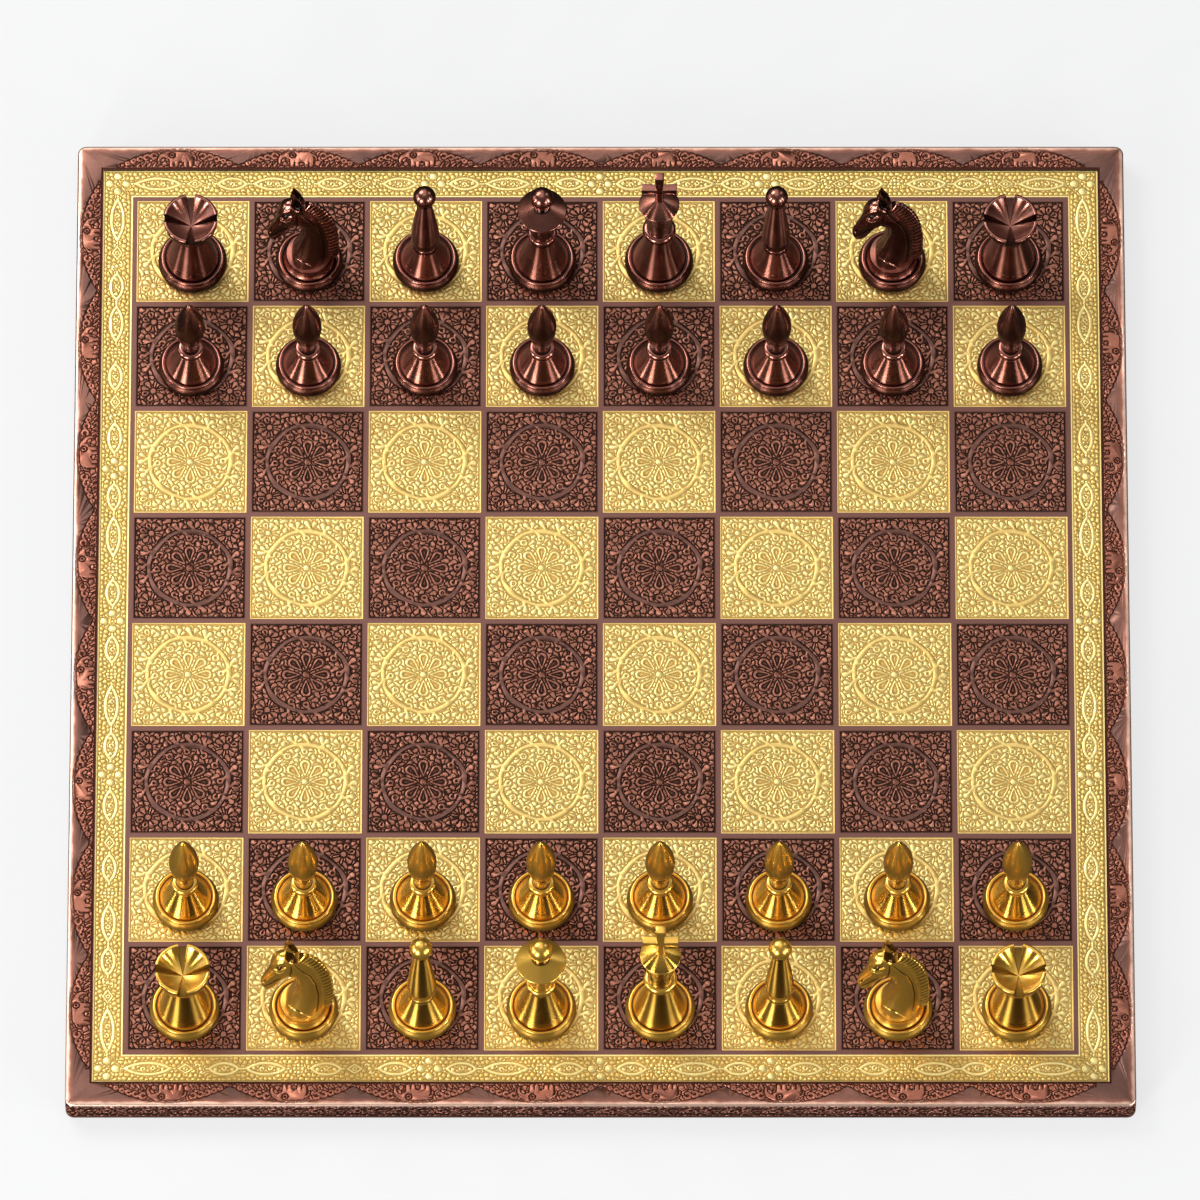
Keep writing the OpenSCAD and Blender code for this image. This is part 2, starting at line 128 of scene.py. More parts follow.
# Name, direction from the board's middle, width and height in metres, power in watts.
PANELS = (
    ("key_panel", (-0.50, 0.46, 0.73), 1.0, 0.8, 22),
    ("overhead_panel", (-0.06, 0.42, 0.90), 1.4, 2.9, 12.5),
    ("right_panel", (0.66, 0.42, 0.62), 0.7, 0.7, 2.5),
    ("left_front_panel", (-0.52, -0.81, 0.26), 0.5, 0.8, 34),
    ("right_front_panel", (0.64, -0.72, 0.26), 0.5, 0.8, 13),
    ("left_panel", (-0.97, 0.08, 0.24), 1.0, 1.0, 6),
    ("left_strip", (-0.90, -0.36, 0.24), 0.14, 1.0, 18),
    ("right_strip", (0.89, -0.39, 0.24), 0.14, 1.0, 16),
)


def add_panel(name, towards, width, height, power):
    """A soft light panel, turned to face the board's middle."""
    data = bpy.data.lights.new(name, "AREA")
    data.shape = "RECTANGLE"
    data.size, data.size_y, data.energy = width, height, power
    lamp = bpy.data.objects.new(name, data)
    bpy.context.scene.collection.objects.link(lamp)
    lamp.location = Vector(towards).normalized() * PANEL_DISTANCE
    lamp.rotation_euler = (-lamp.location).to_track_quat("-Z", "Y").to_euler()


for panel in PANELS:
    add_panel(*panel)
print(len(PANELS), "light panels,", sum(panel[4] for panel in PANELS), "W in all")

# %% Sky: a grey that rises from dark at the horizon to dim overhead
SKY = ((0.0, 0.02), (0.5, 0.03), (0.75, 0.12), (1.0, 0.3))
world = bpy.data.worlds.new("studio_sky")
bpy.context.scene.world = world
world.use_nodes = True
sky = world.node_tree
sky.nodes.clear()
sky_out = sky.nodes.new("ShaderNodeOutputWorld")
sky_light = sky.nodes.new("ShaderNodeBackground")
sky_ramp = sky.nodes.new("ShaderNodeValToRGB")
sky_split = sky.nodes.new("ShaderNodeSeparateXYZ")
sky_place = sky.nodes.new("ShaderNodeTexCoord")
sky.links.new(sky_place.outputs["Generated"], sky_split.inputs[0])
sky.links.new(sky_split.outputs["Z"], sky_ramp.inputs["Fac"])
sky.links.new(sky_ramp.outputs["Color"], sky_light.inputs["Color"])
sky.links.new(sky_light.outputs["Background"], sky_out.inputs["Surface"])
while len(sky_ramp.color_ramp.elements) < len(SKY):
    sky_ramp.color_ramp.elements.new(0.5)
for stop, (place, grey) in zip(sky_ramp.color_ramp.elements, SKY):
    stop.position, stop.color = place, (grey, grey, grey, 1)
sky_light.inputs["Strength"].default_value = 1.0
print("sky:", [(round(stop.position, 2), round(stop.color[0], 2)) for stop in sky_ramp.color_ramp.elements])

# %% [markdown]
# The floor is pale and plain. It glows a little, which lifts it to near white without more light on the
# set, and it doesn't show in metal, because a white floor would wash out the men's dark bands.

# %% Floor
FLOOR_HALF = 4.0
FLOOR_GREY = (0.20, 0.203, 0.206, 1)
FLOOR_GLOW = 0.71


def new_material(name):
    """A material with one Principled shader: the material, its node tree and the shader's sockets."""
    material = bpy.data.materials.new(name)
    material.use_nodes = True
    return material, material.node_tree, material.node_tree.nodes["Principled BSDF"].inputs


floor_paint, _, shader = new_material("pale_floor")
shader["Base Color"].default_value = FLOOR_GREY
shader["Roughness"].default_value = 0.9
shader["Specular IOR Level"].default_value = 0.1
shader["Emission Color"].default_value = (1, 1, 1, 1)
shader["Emission Strength"].default_value = FLOOR_GLOW
floor_mesh = bpy.data.meshes.new("floor")
floor_corners = [(x * FLOOR_HALF, y * FLOOR_HALF, 0) for x, y in ((-1, -1), (1, -1), (1, 1), (-1, 1))]
floor_mesh.from_pydata(floor_corners, [], [(0, 1, 2, 3)])
floor_mesh.materials.append(floor_paint)
floor = bpy.data.objects.new("floor", floor_mesh)
bpy.context.scene.collection.objects.link(floor)
floor.visible_glossy = False
print("floor:", 2 * FLOOR_HALF, "m square")

# %% [markdown]
# ## Shared finishes
# Four effects turn up on the metals, and each is a node group with named sockets, so that every metal can
# use it with its own values. The wiring helpers come first. Each takes a node tree, and each takes a plain
# value or a link for its inputs, which keeps a whole effect readable as a few lines of sums.

# %% Helpers for wiring nodes
COLOUR, FLOAT, VECTOR = "NodeSocketColor", "NodeSocketFloat", "NodeSocketVector"


def new_group(name, inputs, outputs):
    """A shader node group with named sockets: inputs as (name, kind, value)."""
    group = bpy.data.node_groups.new(name, "ShaderNodeTree")
    for label, kind, value in inputs:
        group.interface.new_socket(label, in_out="INPUT", socket_type=kind).default_value = value
    for label, kind in outputs:
        group.interface.new_socket(label, in_out="OUTPUT", socket_type=kind)
    print("group", name, "puts out", [label for label, _ in outputs])
    return group, group.nodes.new("NodeGroupInput").outputs, group.nodes.new("NodeGroupOutput").inputs


def feed(tree, value, socket):
    """Gives a socket a plain value or a link."""
    if isinstance(value, bpy.types.NodeSocket):
        tree.links.new(value, socket)
    else:
        socket.default_value = value


def blended(tree, factor, a, b):
    """A mix of two colours."""
    node = tree.nodes.new("ShaderNodeMix")
    node.data_type = "RGBA"
    for index, value in ((0, factor), (6, a), (7, b)):
        feed(tree, value, node.inputs[index])
    return node.outputs[2]


def ranged(tree, value, low, high, to_low=0.0, to_high=1.0):
    """Maps a value from one range to another, held at the ends."""
    node = tree.nodes.new("ShaderNodeMapRange")
    feeds = (("Value", value), ("From Min", low), ("From Max", high), ("To Min", to_low), ("To Max", to_high))
    for label, number in feeds:
        feed(tree, number, node.inputs[label])
    return node.outputs["Result"]


def maths(tree, operation, a, b):
    node = tree.nodes.new("ShaderNodeMath")
    node.operation = operation
    feed(tree, a, node.inputs[0])
    feed(tree, b, node.inputs[1])
    return node.outputs[0]


def product(tree, a, b):
    return maths(tree, "MULTIPLY", a, b)


def vector_maths(tree, operation, a, b=(0, 0, 0)):
    node = tree.nodes.new("ShaderNodeVectorMath")
    node.operation = operation
    feed(tree, a, node.inputs[0])
    feed(tree, b, node.inputs[1])
    return node.outputs["Vector"]


# %% Helpers for reading places, values and textures


def place_of(tree, owner=None):
    """The object's own coordinates, or another object's."""
    node = tree.nodes.new("ShaderNodeTexCoord")
    node.object = owner
    return node.outputs["Object"]


def stored(tree, name):
    """A value stored on the mesh."""
    node = tree.nodes.new("ShaderNodeAttribute")
    node.attribute_name = name
    return node.outputs["Fac"]


def noise(tree, scale, detail=3.0, roughness=0.5, stretch=None, place=None):
    """Smooth noise over the object's own coordinates, stretched if asked, or over another place."""
    place = place or place_of(tree)
    if stretch:
        place = vector_maths(tree, "MULTIPLY", place, stretch)
    node = tree.nodes.new("ShaderNodeTexNoise")
    node.inputs["Detail"].default_value = detail
    node.inputs["Roughness"].default_value = roughness
    feed(tree, scale, node.inputs["Scale"])
    tree.links.new(place, node.inputs["Vector"])
    return node.outputs["Fac"]


def bumped(tree, height, strength, distance):
    """A normal tilted by a height, distance metres high."""
    node = tree.nodes.new("ShaderNodeBump")
    feed(tree, strength, node.inputs["Strength"])
    node.inputs["Distance"].default_value = distance
    tree.links.new(height, node.inputs["Height"])
    return node.outputs["Normal"]


WHITE, GREY, BLACK = (1, 1, 1, 1), (0.5, 0.5, 0.5, 1), (0, 0, 0, 1)

# %% [markdown]
# Embossing leaves dark dirt in the grooves and a rub on what stands proud. Two values stored on each mesh
# say where: relief is 1 on top and 0 in a groove, and polish says how bright a top was rubbed. The grooves
# are real shapes here, so their own height is the best mask for the dirt.

# %% Node group: groove dirt
groove_dirt, given, made = new_group(
    "groove_dirt",
    [("Rubbed", COLOUR, WHITE), ("Top", COLOUR, WHITE), ("Dull", COLOUR, GREY), ("Groove", COLOUR, BLACK)],
    [("Color", COLOUR), ("Mask", FLOAT)],
)
HALF_RUBBED = 0.6
polish = stored(groove_dirt, "polish")
surface = blended(groove_dirt, ranged(groove_dirt, polish, 0, HALF_RUBBED), given["Dull"], given["Top"])
surface = blended(groove_dirt, ranged(groove_dirt, polish, HALF_RUBBED, 1), surface, given["Rubbed"])
speckle = ranged(groove_dirt, noise(groove_dirt, 1100, 2.0), 0.4, 0.75, 0.0, 0.16)
surface = blended(groove_dirt, speckle, surface, given["Groove"])
# On the frame, one narrow groove along the inner edge uses the groove colour as a painted shadow line.
lifted = ranged(groove_dirt, stored(groove_dirt, "relief"), 0.15, 0.85)
feed(groove_dirt, blended(groove_dirt, lifted, given["Groove"], surface), made["Color"])
feed(groove_dirt, lifted, made["Mask"])

# %% [markdown]
# Handled metal darkens in slow clouds. Smooth noise, held between two levels so that the clouds have edges,
# mixes the dull colour into the bright one.

# %% Node group: tarnish clouds
tarnish, given, made = new_group(
    "tarnish_clouds",
    [("Place", VECTOR, (0, 0, 0)), ("Bright", COLOUR, WHITE), ("Dull", COLOUR, GREY),
     ("Scale", FLOAT, 30.0), ("Amount", FLOAT, 0.5)],
    [("Color", COLOUR)],
)
clouds = noise(tarnish, given["Scale"], 5.0, 0.6, place=given["Place"])
cloud_mask = product(tarnish, ranged(tarnish, clouds, 0.36, 0.64), given["Amount"])
feed(tarnish, blended(tarnish, cloud_mask, given["Bright"], given["Dull"]), made["Color"])

# %% [markdown]
# A lathe tool leaves fine rings round the axis, and brushing leaves faint streaks down the cones. The rings
# are noise pressed flat along the axis. The streaks are noise over the direction from the axis, so each
# runs straight down a cone; they darken the colour in rays, which is partly brushing and partly painted
# dark reflection bands of the kind a turned cone shows. The stored value lathe is 1 on the cones and 0 on
# beads and balls, which have neither.

# %% Node group: lathe marks and painted reflection streaks
lathe_marks_and_painted_streaks, given, made = new_group(
    "lathe_marks_and_painted_streaks",
    [("Depth", FLOAT, 0.1)],
    [("Normal", VECTOR), ("Streaks", FLOAT), ("Turned", FLOAT)],
)
RING_STRETCH = (60, 60, 5000)
RING_DEPTH = 0.00002
turned = stored(lathe_marks_and_painted_streaks, "lathe")
from_axis = vector_maths(lathe_marks_and_painted_streaks, "MULTIPLY", place_of(lathe_marks_and_painted_streaks), (1, 1, 0))
heading = vector_maths(lathe_marks_and_painted_streaks, "NORMALIZE", from_axis)
rays = ranged(lathe_marks_and_painted_streaks, noise(lathe_marks_and_painted_streaks, 22, 2.0, place=heading), 0.42, 0.68)
rings = noise(lathe_marks_and_painted_streaks, 1.0, 2.0, stretch=RING_STRETCH)
ring_strength = product(lathe_marks_and_painted_streaks, turned, given["Depth"])
feed(lathe_marks_and_painted_streaks, product(lathe_marks_and_painted_streaks, rays, turned), made["Streaks"])
feed(lathe_marks_and_painted_streaks, turned, made["Turned"])
feed(lathe_marks_and_painted_streaks, bumped(lathe_marks_and_painted_streaks, rings, ring_strength, RING_DEPTH), made["Normal"])

# %% [markdown]
# Hands rub a board's outer rim bright, and a highlight on the rounded edge is painted into the colour as
# well. The rim is where x or y, whichever is farther out, comes near the board's edge, high up on the frame.
# Noise keeps the line from being even. Bare metal and a painted near-white highlight show in a narrow band,
# and a wider glow, worn and partly painted highlight, lies inside it.

# %% Node group: rim wear and painted highlight
rim_wear_and_highlight, _, made = new_group("rim_wear_and_highlight", [], [("Glow", FLOAT), ("Mask", FLOAT)])
WANDER = 0.7 * MM
edge = BOARD_W / 2 * MM
axes = rim_wear_and_highlight.nodes.new("ShaderNodeSeparateXYZ")
rim_wear_and_highlight.links.new(vector_maths(rim_wear_and_highlight, "ABSOLUTE", place_of(rim_wear_and_highlight)), axes.inputs[0])
uneven = ranged(rim_wear_and_highlight, noise(rim_wear_and_highlight, 260, 4.0), 0, 1, -WANDER, WANDER)
outmost = maths(rim_wear_and_highlight, "ADD", maths(rim_wear_and_highlight, "MAXIMUM", axes.outputs["X"], axes.outputs["Y"]), uneven)
upward = ranged(rim_wear_and_highlight, axes.outputs["Z"], (FRAME_TOP - 1.6) * MM, (FRAME_TOP - 0.6) * MM)
for label, far, near in (("Glow", 3.0, 1.0), ("Mask", 1.8, 0.7)):
    band = ranged(rim_wear_and_highlight, outmost, edge - far * MM, edge - near * MM)
    feed(rim_wear_and_highlight, product(rim_wear_and_highlight, band, upward), made[label])

# %% [markdown]
# ## Metals
# A metal's colour is its base colour at Metallic 1, and the rest is roughness, dirt, painted shade in the
# men's hollows and a painted highlight on the frame's rim. The embossed metals take their dark grooves from
# the relief. Other metals see the board dimmed, which keeps its busy pattern from crowding the men.

# %% Embossed metals
SEEN_DIMMER = 0.92
DIMMED = (0.05, 0.03, 0.02, 1)
GRAIN_SCALE, GRAIN_DEPTH = 1800, 0.00003


def rgb(red, green, blue):
    """A colour as it looks on a screen, from 0 to 255, as the linear colour that a shader takes."""
    shown = [c / 255 for c in (red, green, blue)]
    return (*[((c + 0.055) / 1.055) ** 2.4 if c > 0.04 else c / 12.92 for c in shown], 1)


def place_group(tree, group, **values):
    node = tree.nodes.new("ShaderNodeGroup")
    node.node_tree = group
    for label, value in values.items():
        feed(tree, value, node.inputs[label])
    return node.outputs


def embossed_metal(name, rubbed_and_highlight, top, dull, groove, top_cloud, dull_cloud, roughness, cloud_size, rim_worn_and_highlit=False):
    """Sheet metal with dirt in its grooves, slow tarnish on its tops and a fine grain. Its clouds run on over
    the whole board, across the joints between pieces, because all the sheets read the core's coordinates."""
    material, tree, shader = new_material(name)
    place = place_of(tree, bpy.data.objects["core_panel"])
    tops = place_group(tree, tarnish, Place=place, Bright=top, Dull=top_cloud, Scale=cloud_size, Amount=0.65)
    lows = place_group(tree, tarnish, Place=place, Bright=dull, Dull=dull_cloud, Scale=cloud_size, Amount=1.0)
    dirt = place_group(tree, groove_dirt, Rubbed=rubbed_and_highlight, Top=tops["Color"], Dull=lows["Color"], Groove=groove)
    colour = dirt["Color"]
    # On the frame's rim the colour turns to worn metal and a painted near-white highlight.
    if rim_worn_and_highlit:
        rim_wear_shine = place_group(tree, rim_wear_and_highlight)
        colour = blended(tree, rim_wear_shine["Glow"], colour, top)
        colour = blended(tree, rim_wear_shine["Mask"], colour, rubbed_and_highlight)
    seen_in_metal = tree.nodes.new("ShaderNodeLightPath").outputs["Is Glossy Ray"]
    colour = blended(tree, product(tree, seen_in_metal, SEEN_DIMMER), colour, DIMMED)
    feed(tree, colour, shader["Base Color"])
    feed(tree, ranged(tree, dirt["Mask"], 0, 1, roughness + 0.25, roughness), shader["Roughness"])
    feed(tree, bumped(tree, noise(tree, GRAIN_SCALE), 0.2, GRAIN_DEPTH), shader["Normal"])
    shader["Metallic"].default_value = 1.0
    return material


light_brass = embossed_metal(
    "light_brass", rubbed_and_highlight=rgb(245, 224, 146), top=rgb(243, 218, 138), dull=rgb(238, 208, 128),
    groove=rgb(212, 172, 96), top_cloud=rgb(234, 204, 122), dull_cloud=rgb(230, 198, 118),
    roughness=0.42, cloud_size=60)
dark_copper = embossed_metal(
    "dark_copper", rubbed_and_highlight=rgb(154, 102, 84), top=rgb(143, 95, 79), dull=rgb(114, 79, 69),
    groove=rgb(66, 45, 38), top_cloud=rgb(124, 82, 69), dull_cloud=rgb(104, 73, 64),
    roughness=0.42, cloud_size=90)
pale_brass = embossed_metal(
    "pale_brass", rubbed_and_highlight=rgb(255, 234, 156), top=rgb(254, 230, 148), dull=rgb(240, 208, 124),
    groove=rgb(214, 176, 98), top_cloud=rgb(246, 218, 134), dull_cloud=rgb(230, 196, 114),
    roughness=0.4, cloud_size=50)
old_copper = embossed_metal(
    "old_copper", rubbed_and_highlight=rgb(255, 214, 192), top=rgb(172, 110, 90), dull=rgb(136, 96, 84),
    groove=rgb(84, 48, 38), top_cloud=rgb(148, 96, 80), dull_cloud=rgb(104, 77, 70),
    roughness=0.4, cloud_size=40, rim_worn_and_highlit=True)
BRONZE, BRONZE_CLOUD = rgb(122, 86, 78), rgb(106, 72, 66)
bar_bronze = embossed_metal("bar_bronze", *[BRONZE] * 4, *[BRONZE_CLOUD] * 2, roughness=0.4, cloud_size=120)
embossed = (light_brass, dark_copper, pale_brass, old_copper, bar_bronze)
print("embossed metals:", [metal.name for metal in embossed])

# %% [markdown]
# The men are brighter and smoother than the board. A lathe leaves rings round them, and such rings smear
# each reflection along the cone, across the rings: that is what Anisotropic does here, with a tangent round
# the vertical axis and a quarter turn. Beads, buds, balls and the horse are plainly cast and polished, so
# they take a second metal without it.

# %% Metals of the men
STREAK_SHARE = 0.18


def cast_metal(name, bright, dull, deep, roughness, cloud_amount, metallic=1.0, brushed=None):
    """Cast metal with a little tarnish, dirt and painted shade in its hollows, and clear lacquer. brushed is
    the roughness of cones that were turned and brushed on a lathe, where there are any."""
    material, tree, shader = new_material(name)
    clouds = place_group(tree, tarnish, Place=place_of(tree), Bright=bright, Dull=dull, Scale=90.0,
                         Amount=cloud_amount)
    # Hollows take the deep colour: dirt and painted shade together.
    colour = blended(tree, ranged(tree, stored(tree, "relief"), 0.2, 0.9), deep, clouds["Color"])
    shader["Roughness"].default_value = roughness
    if brushed:
        marks = place_group(tree, lathe_marks_and_painted_streaks, Depth=0.05)
        # Streaks darken the cones towards the deep colour: brushing marks and painted dark reflection bands.
        colour = blended(tree, product(tree, marks["Streaks"], STREAK_SHARE), colour, deep)
        feed(tree, ranged(tree, marks["Turned"], 0, 1, roughness, brushed), shader["Roughness"])
        feed(tree, marks["Normal"], shader["Normal"])
        shader["Anisotropic"].default_value = 0.97
        shader["Anisotropic Rotation"].default_value = 0.25
        tangent = tree.nodes.new("ShaderNodeTangent")
        tangent.direction_type, tangent.axis = "RADIAL", "Z"
        feed(tree, tangent.outputs["Tangent"], shader["Tangent"])
    feed(tree, colour, shader["Base Color"])
    shader["Metallic"].default_value = metallic
    shader["Coat Weight"].default_value = 0.5
    shader["Coat Roughness"].default_value = 0.1
    return material


# Bright, dull and deep colours; deep is dirt and painted shade in the hollows.
GOLD = rgb(248, 196, 84), rgb(238, 176, 62), rgb(104, 66, 10)
COPPER = rgb(168, 106, 88), rgb(128, 78, 66), rgb(44, 26, 22)
gold_turned = cast_metal("gold_turned", *GOLD, roughness=0.2, brushed=0.3, cloud_amount=0.5)
copper_turned = cast_metal("copper_turned", *COPPER, roughness=0.2, brushed=0.3, cloud_amount=0.8)
gold_cast = cast_metal("gold_cast", *GOLD, roughness=0.28, cloud_amount=0.5, metallic=0.9)
copper_cast = cast_metal("copper_cast", *COPPER, roughness=0.26, cloud_amount=0.8)
print("men's metals:", [metal.name for metal in (gold_turned, copper_turned, gold_cast, copper_cast)])

# %% [markdown]
# Felt is the one soft material: short matted fibres that scatter light, shown by a fine noise in colour and
# bump and a little sheen. The wood of the core hardly shows, but it has its grain.

# %% Felt and wood
FIBRE_SCALE = 1400
WOOD_STRETCH = (40, 600, 200)
felt, tree, shader = new_material("felt")
fibre = noise(tree, FIBRE_SCALE, 6.0, 0.7)
feed(tree, blended(tree, fibre, rgb(16, 46, 28), rgb(48, 88, 58)), shader["Base Color"])
feed(tree, bumped(tree, fibre, 0.8, 0.0002), shader["Normal"])
shader["Roughness"].default_value = 0.95
shader["Sheen Weight"].default_value = 0.3

core_wood, tree, shader = new_material("core_wood")
grain_lines = noise(tree, 1.0, 4.0, stretch=WOOD_STRETCH)
feed(tree, blended(tree, grain_lines, rgb(150, 104, 62), rgb(196, 150, 100)), shader["Base Color"])
feed(tree, bumped(tree, grain_lines, 0.3, 0.0001), shader["Normal"])
shader["Roughness"].default_value = 0.6
print("materials so far:", len(bpy.data.materials))

# %% [markdown]
# ## Drawing ornament as distances
# Embossed sheet is pressed between dies, so its ornament is a height over a flat plate. Each motif is drawn
# as a signed distance: how far a point lies outside it, below zero inside. Distances join with a plain
# minimum, and a smooth step turns them into rounded edges of even width, which hand-made polygons would not
# give.

# %% Distances to simple motifs


def smooth(t):
    """An even step from 0 to 1."""
    t = np.clip(t, 0, 1)
    return t * t * (3 - 2 * t)


def disc(x, y, cx, cy, r):
    return np.hypot(x - cx, y - cy) - r


def ring(x, y, cx, cy, r, hole):
    """A ring of outer radius r round a hole."""
    return np.abs(np.hypot(x - cx, y - cy) - (r + hole) / 2) - (r - hole) / 2


def drop(x, y, a, b, ra, rb):
    """A teardrop: a circle of radius ra at a, one of radius rb at b, and the straight sides between."""
    length = math.hypot(b[0] - a[0], b[1] - a[1])
    ux, uy = (b[0] - a[0]) / length, (b[1] - a[1]) / length
    along = (x - a[0]) * ux + (y - a[1]) * uy
    across = np.abs((y - a[1]) * ux - (x - a[0]) * uy)
    lean = (ra - rb) / length
    level = math.sqrt(max(1 - lean * lean, 0))
    foot = along * level - across * lean
    side = across * level + along * lean - ra
    round_a, round_b = np.hypot(along, across) - ra, np.hypot(along - length, across) - rb
    return np.where(foot < 0, round_a, np.where(foot > length * level, round_b, side))


print("3 mm from the middle of a disc of radius 2 is", disc(3, 0, 0, 0, 2), "mm outside it")

# %% Bent lines, places on a circle and hooks


def stroke(x, y, points, widths):
    """A bent line through points, with a half width at each."""
    out = np.full(np.shape(x), 1e3)
    for p, q, wp, wq in zip(points, points[1:], widths, widths[1:]):
        dx, dy = q[0] - p[0], q[1] - p[1]
        t = np.clip(((x - p[0]) * dx + (y - p[1]) * dy) / (dx * dx + dy * dy), 0, 1)
        out = np.minimum(out, np.hypot(x - p[0] - t * dx, y - p[1] - t * dy) - (wp + (wq - wp) * t))
    return out


def polar(angle, r, cx=0.0, cy=0.0):
    """The point at an angle in degrees and a radius from a centre."""
    return cx + r * math.cos(math.radians(angle)), cy + r * math.sin(math.radians(angle))


HOOK_STEPS = 10


def hook(x, y, cx, cy, r, start, turn, stem=(), width=0.4):
    """An optional stem, then part of a circle that tightens a little."""
    points = list(stem)
    for i in range(HOOK_STEPS + 1):
        done = i / HOOK_STEPS
        points.append(polar(start + turn * done, r * (1 - 0.25 * done), cx, cy))
    return stroke(x, y, points, [width] * len(points))


print("a hook has", HOOK_STEPS + 1, "points after its stem")

# %% [markdown]
# The ground between the motifs is packed with small pebbles, no two alike. Each pebble is the cell of one
# seed: the points that lie nearer to it than to any other. Seeds are set in staggered rows and nudged at
# random, always from the same start, so that every run gives the same sheet. A soft minimum over a point's
# five nearest cell walls rounds the corners.

# %% Pebbles
WALL_SOFTNESS = 0.1
NEIGHBOURS = 6
CHUNK = 8000


def pebbles(x, y, width, depth, pitch, rng, wraps=False):
    """How far inside its own rounded, irregular cell each point lies. The cells fill width by depth."""
    nx, ny = round(width / pitch), round(depth / (pitch * 0.9)) + 2
    seeds = np.array([((i + rng.uniform(-0.33, 0.33) + 0.5 * (j % 2)) * width / nx - width / 2,
                       (j + rng.uniform(-0.3, 0.3) - (ny - 1) / 2) * pitch * 0.9)
                      for i in range(nx + (not wraps)) for j in range(ny)])
    if wraps:
        seeds = np.concatenate([seeds + (shift * width, 0) for shift in (-1, 0, 1)])
    points = np.stack([np.ravel(x), np.ravel(y)], 1)
    out = np.empty(len(points))
    for k in range(0, len(points), CHUNK):
        part = points[k:k + CHUNK]
        d2 = ((part[:, None] - seeds[None]) ** 2).sum(2)
        near = np.argpartition(d2, NEIGHBOURS - 1, axis=1)[:, :NEIGHBOURS]
        d2 = np.take_along_axis(d2, near, 1)
        order = np.argsort(d2, axis=1)
        near, d2 = np.take_along_axis(near, order, 1), np.take_along_axis(d2, order, 1)
        gaps = np.linalg.norm(seeds[near[:, 1:]] - seeds[near[:, :1]], axis=2)
        walls = (d2[:, 1:] - d2[:, :1]) / (2 * gaps)
        out[k:k + CHUNK] = -WALL_SOFTNESS * np.log(np.exp(-walls / WALL_SOFTNESS).sum(1))
    return out.reshape(np.shape(x))


print("pebble corners are rounded over about", WALL_SOFTNESS, "mm")

# %% From distances to a height
EDGE_SOFT = 0.2
LINE_W = 0.18


def emboss(shapes, cuts, ground, line=LINE_W):
    """Height from 0 to 1: shapes stand up, cuts sink into them, and the ground fills the rest. A line of bare
    sheet is left between shapes and ground."""
    outline = np.minimum.reduce(shapes)
    carved = np.maximum.reduce([outline] + [-cut for cut in cuts])
    between = np.minimum(ground - line / 2, outline - line)
    return smooth(np.maximum(-carved, between) / EDGE_SOFT)


print("embossed edges are", EDGE_SOFT, "mm wide")

# %% [markdown]
# ## The square's ornament
# A rosette of eight petals stands in a ring of vine with buds outside and curls inside, a small flower
# fills each corner, and irregular pebbles fill the ground. Light and dark squares come from one die, so one
# height serves both. The vine was rubbed less bright than the rest, which the polish value says.

# %% Height of a square's ornament
VINE_R = 13.8
VINE_HALF = 0.85
BUD_R = 16.9
CURL_R = 11.2
FLOWER_AT = 13.1


def corner_flower(x, y, sx, sy):
    """Five notched petals round a boss, turned to face the square's corner."""
    cx, cy = FLOWER_AT * sx, FLOWER_AT * sy
    outward = math.degrees(math.atan2(cy, cx))
    shapes, cuts = [disc(x, y, cx, cy, 1.05)], []

    def at(turn, r):
        return polar(outward + turn, r, cx, cy)

    for side in (-1, 1):
        for half in (-16, 16):
            shapes.append(drop(x, y, at(82 * side + half, 1.6), at(82 * side + half, 3.25), 0.25, 1.0))
        cuts.append(stroke(x, y, [at(82 * side, 1.3), at(82 * side, 2.8)], [0.1, 0.28]))
        shapes.append(drop(x, y, at(26 * side, 1.7), at(26 * side, 3.1), 0.3, 1.1))
        cuts.append(stroke(x, y, [at(26 * side, 2.3), at(26 * side, 3.1)], [0.14, 0.3]))
        shapes.append(stroke(x, y, [at(150 * side, 1.6), at(150 * side, 3.4)], [0.3, 0.42]))
    return shapes, cuts


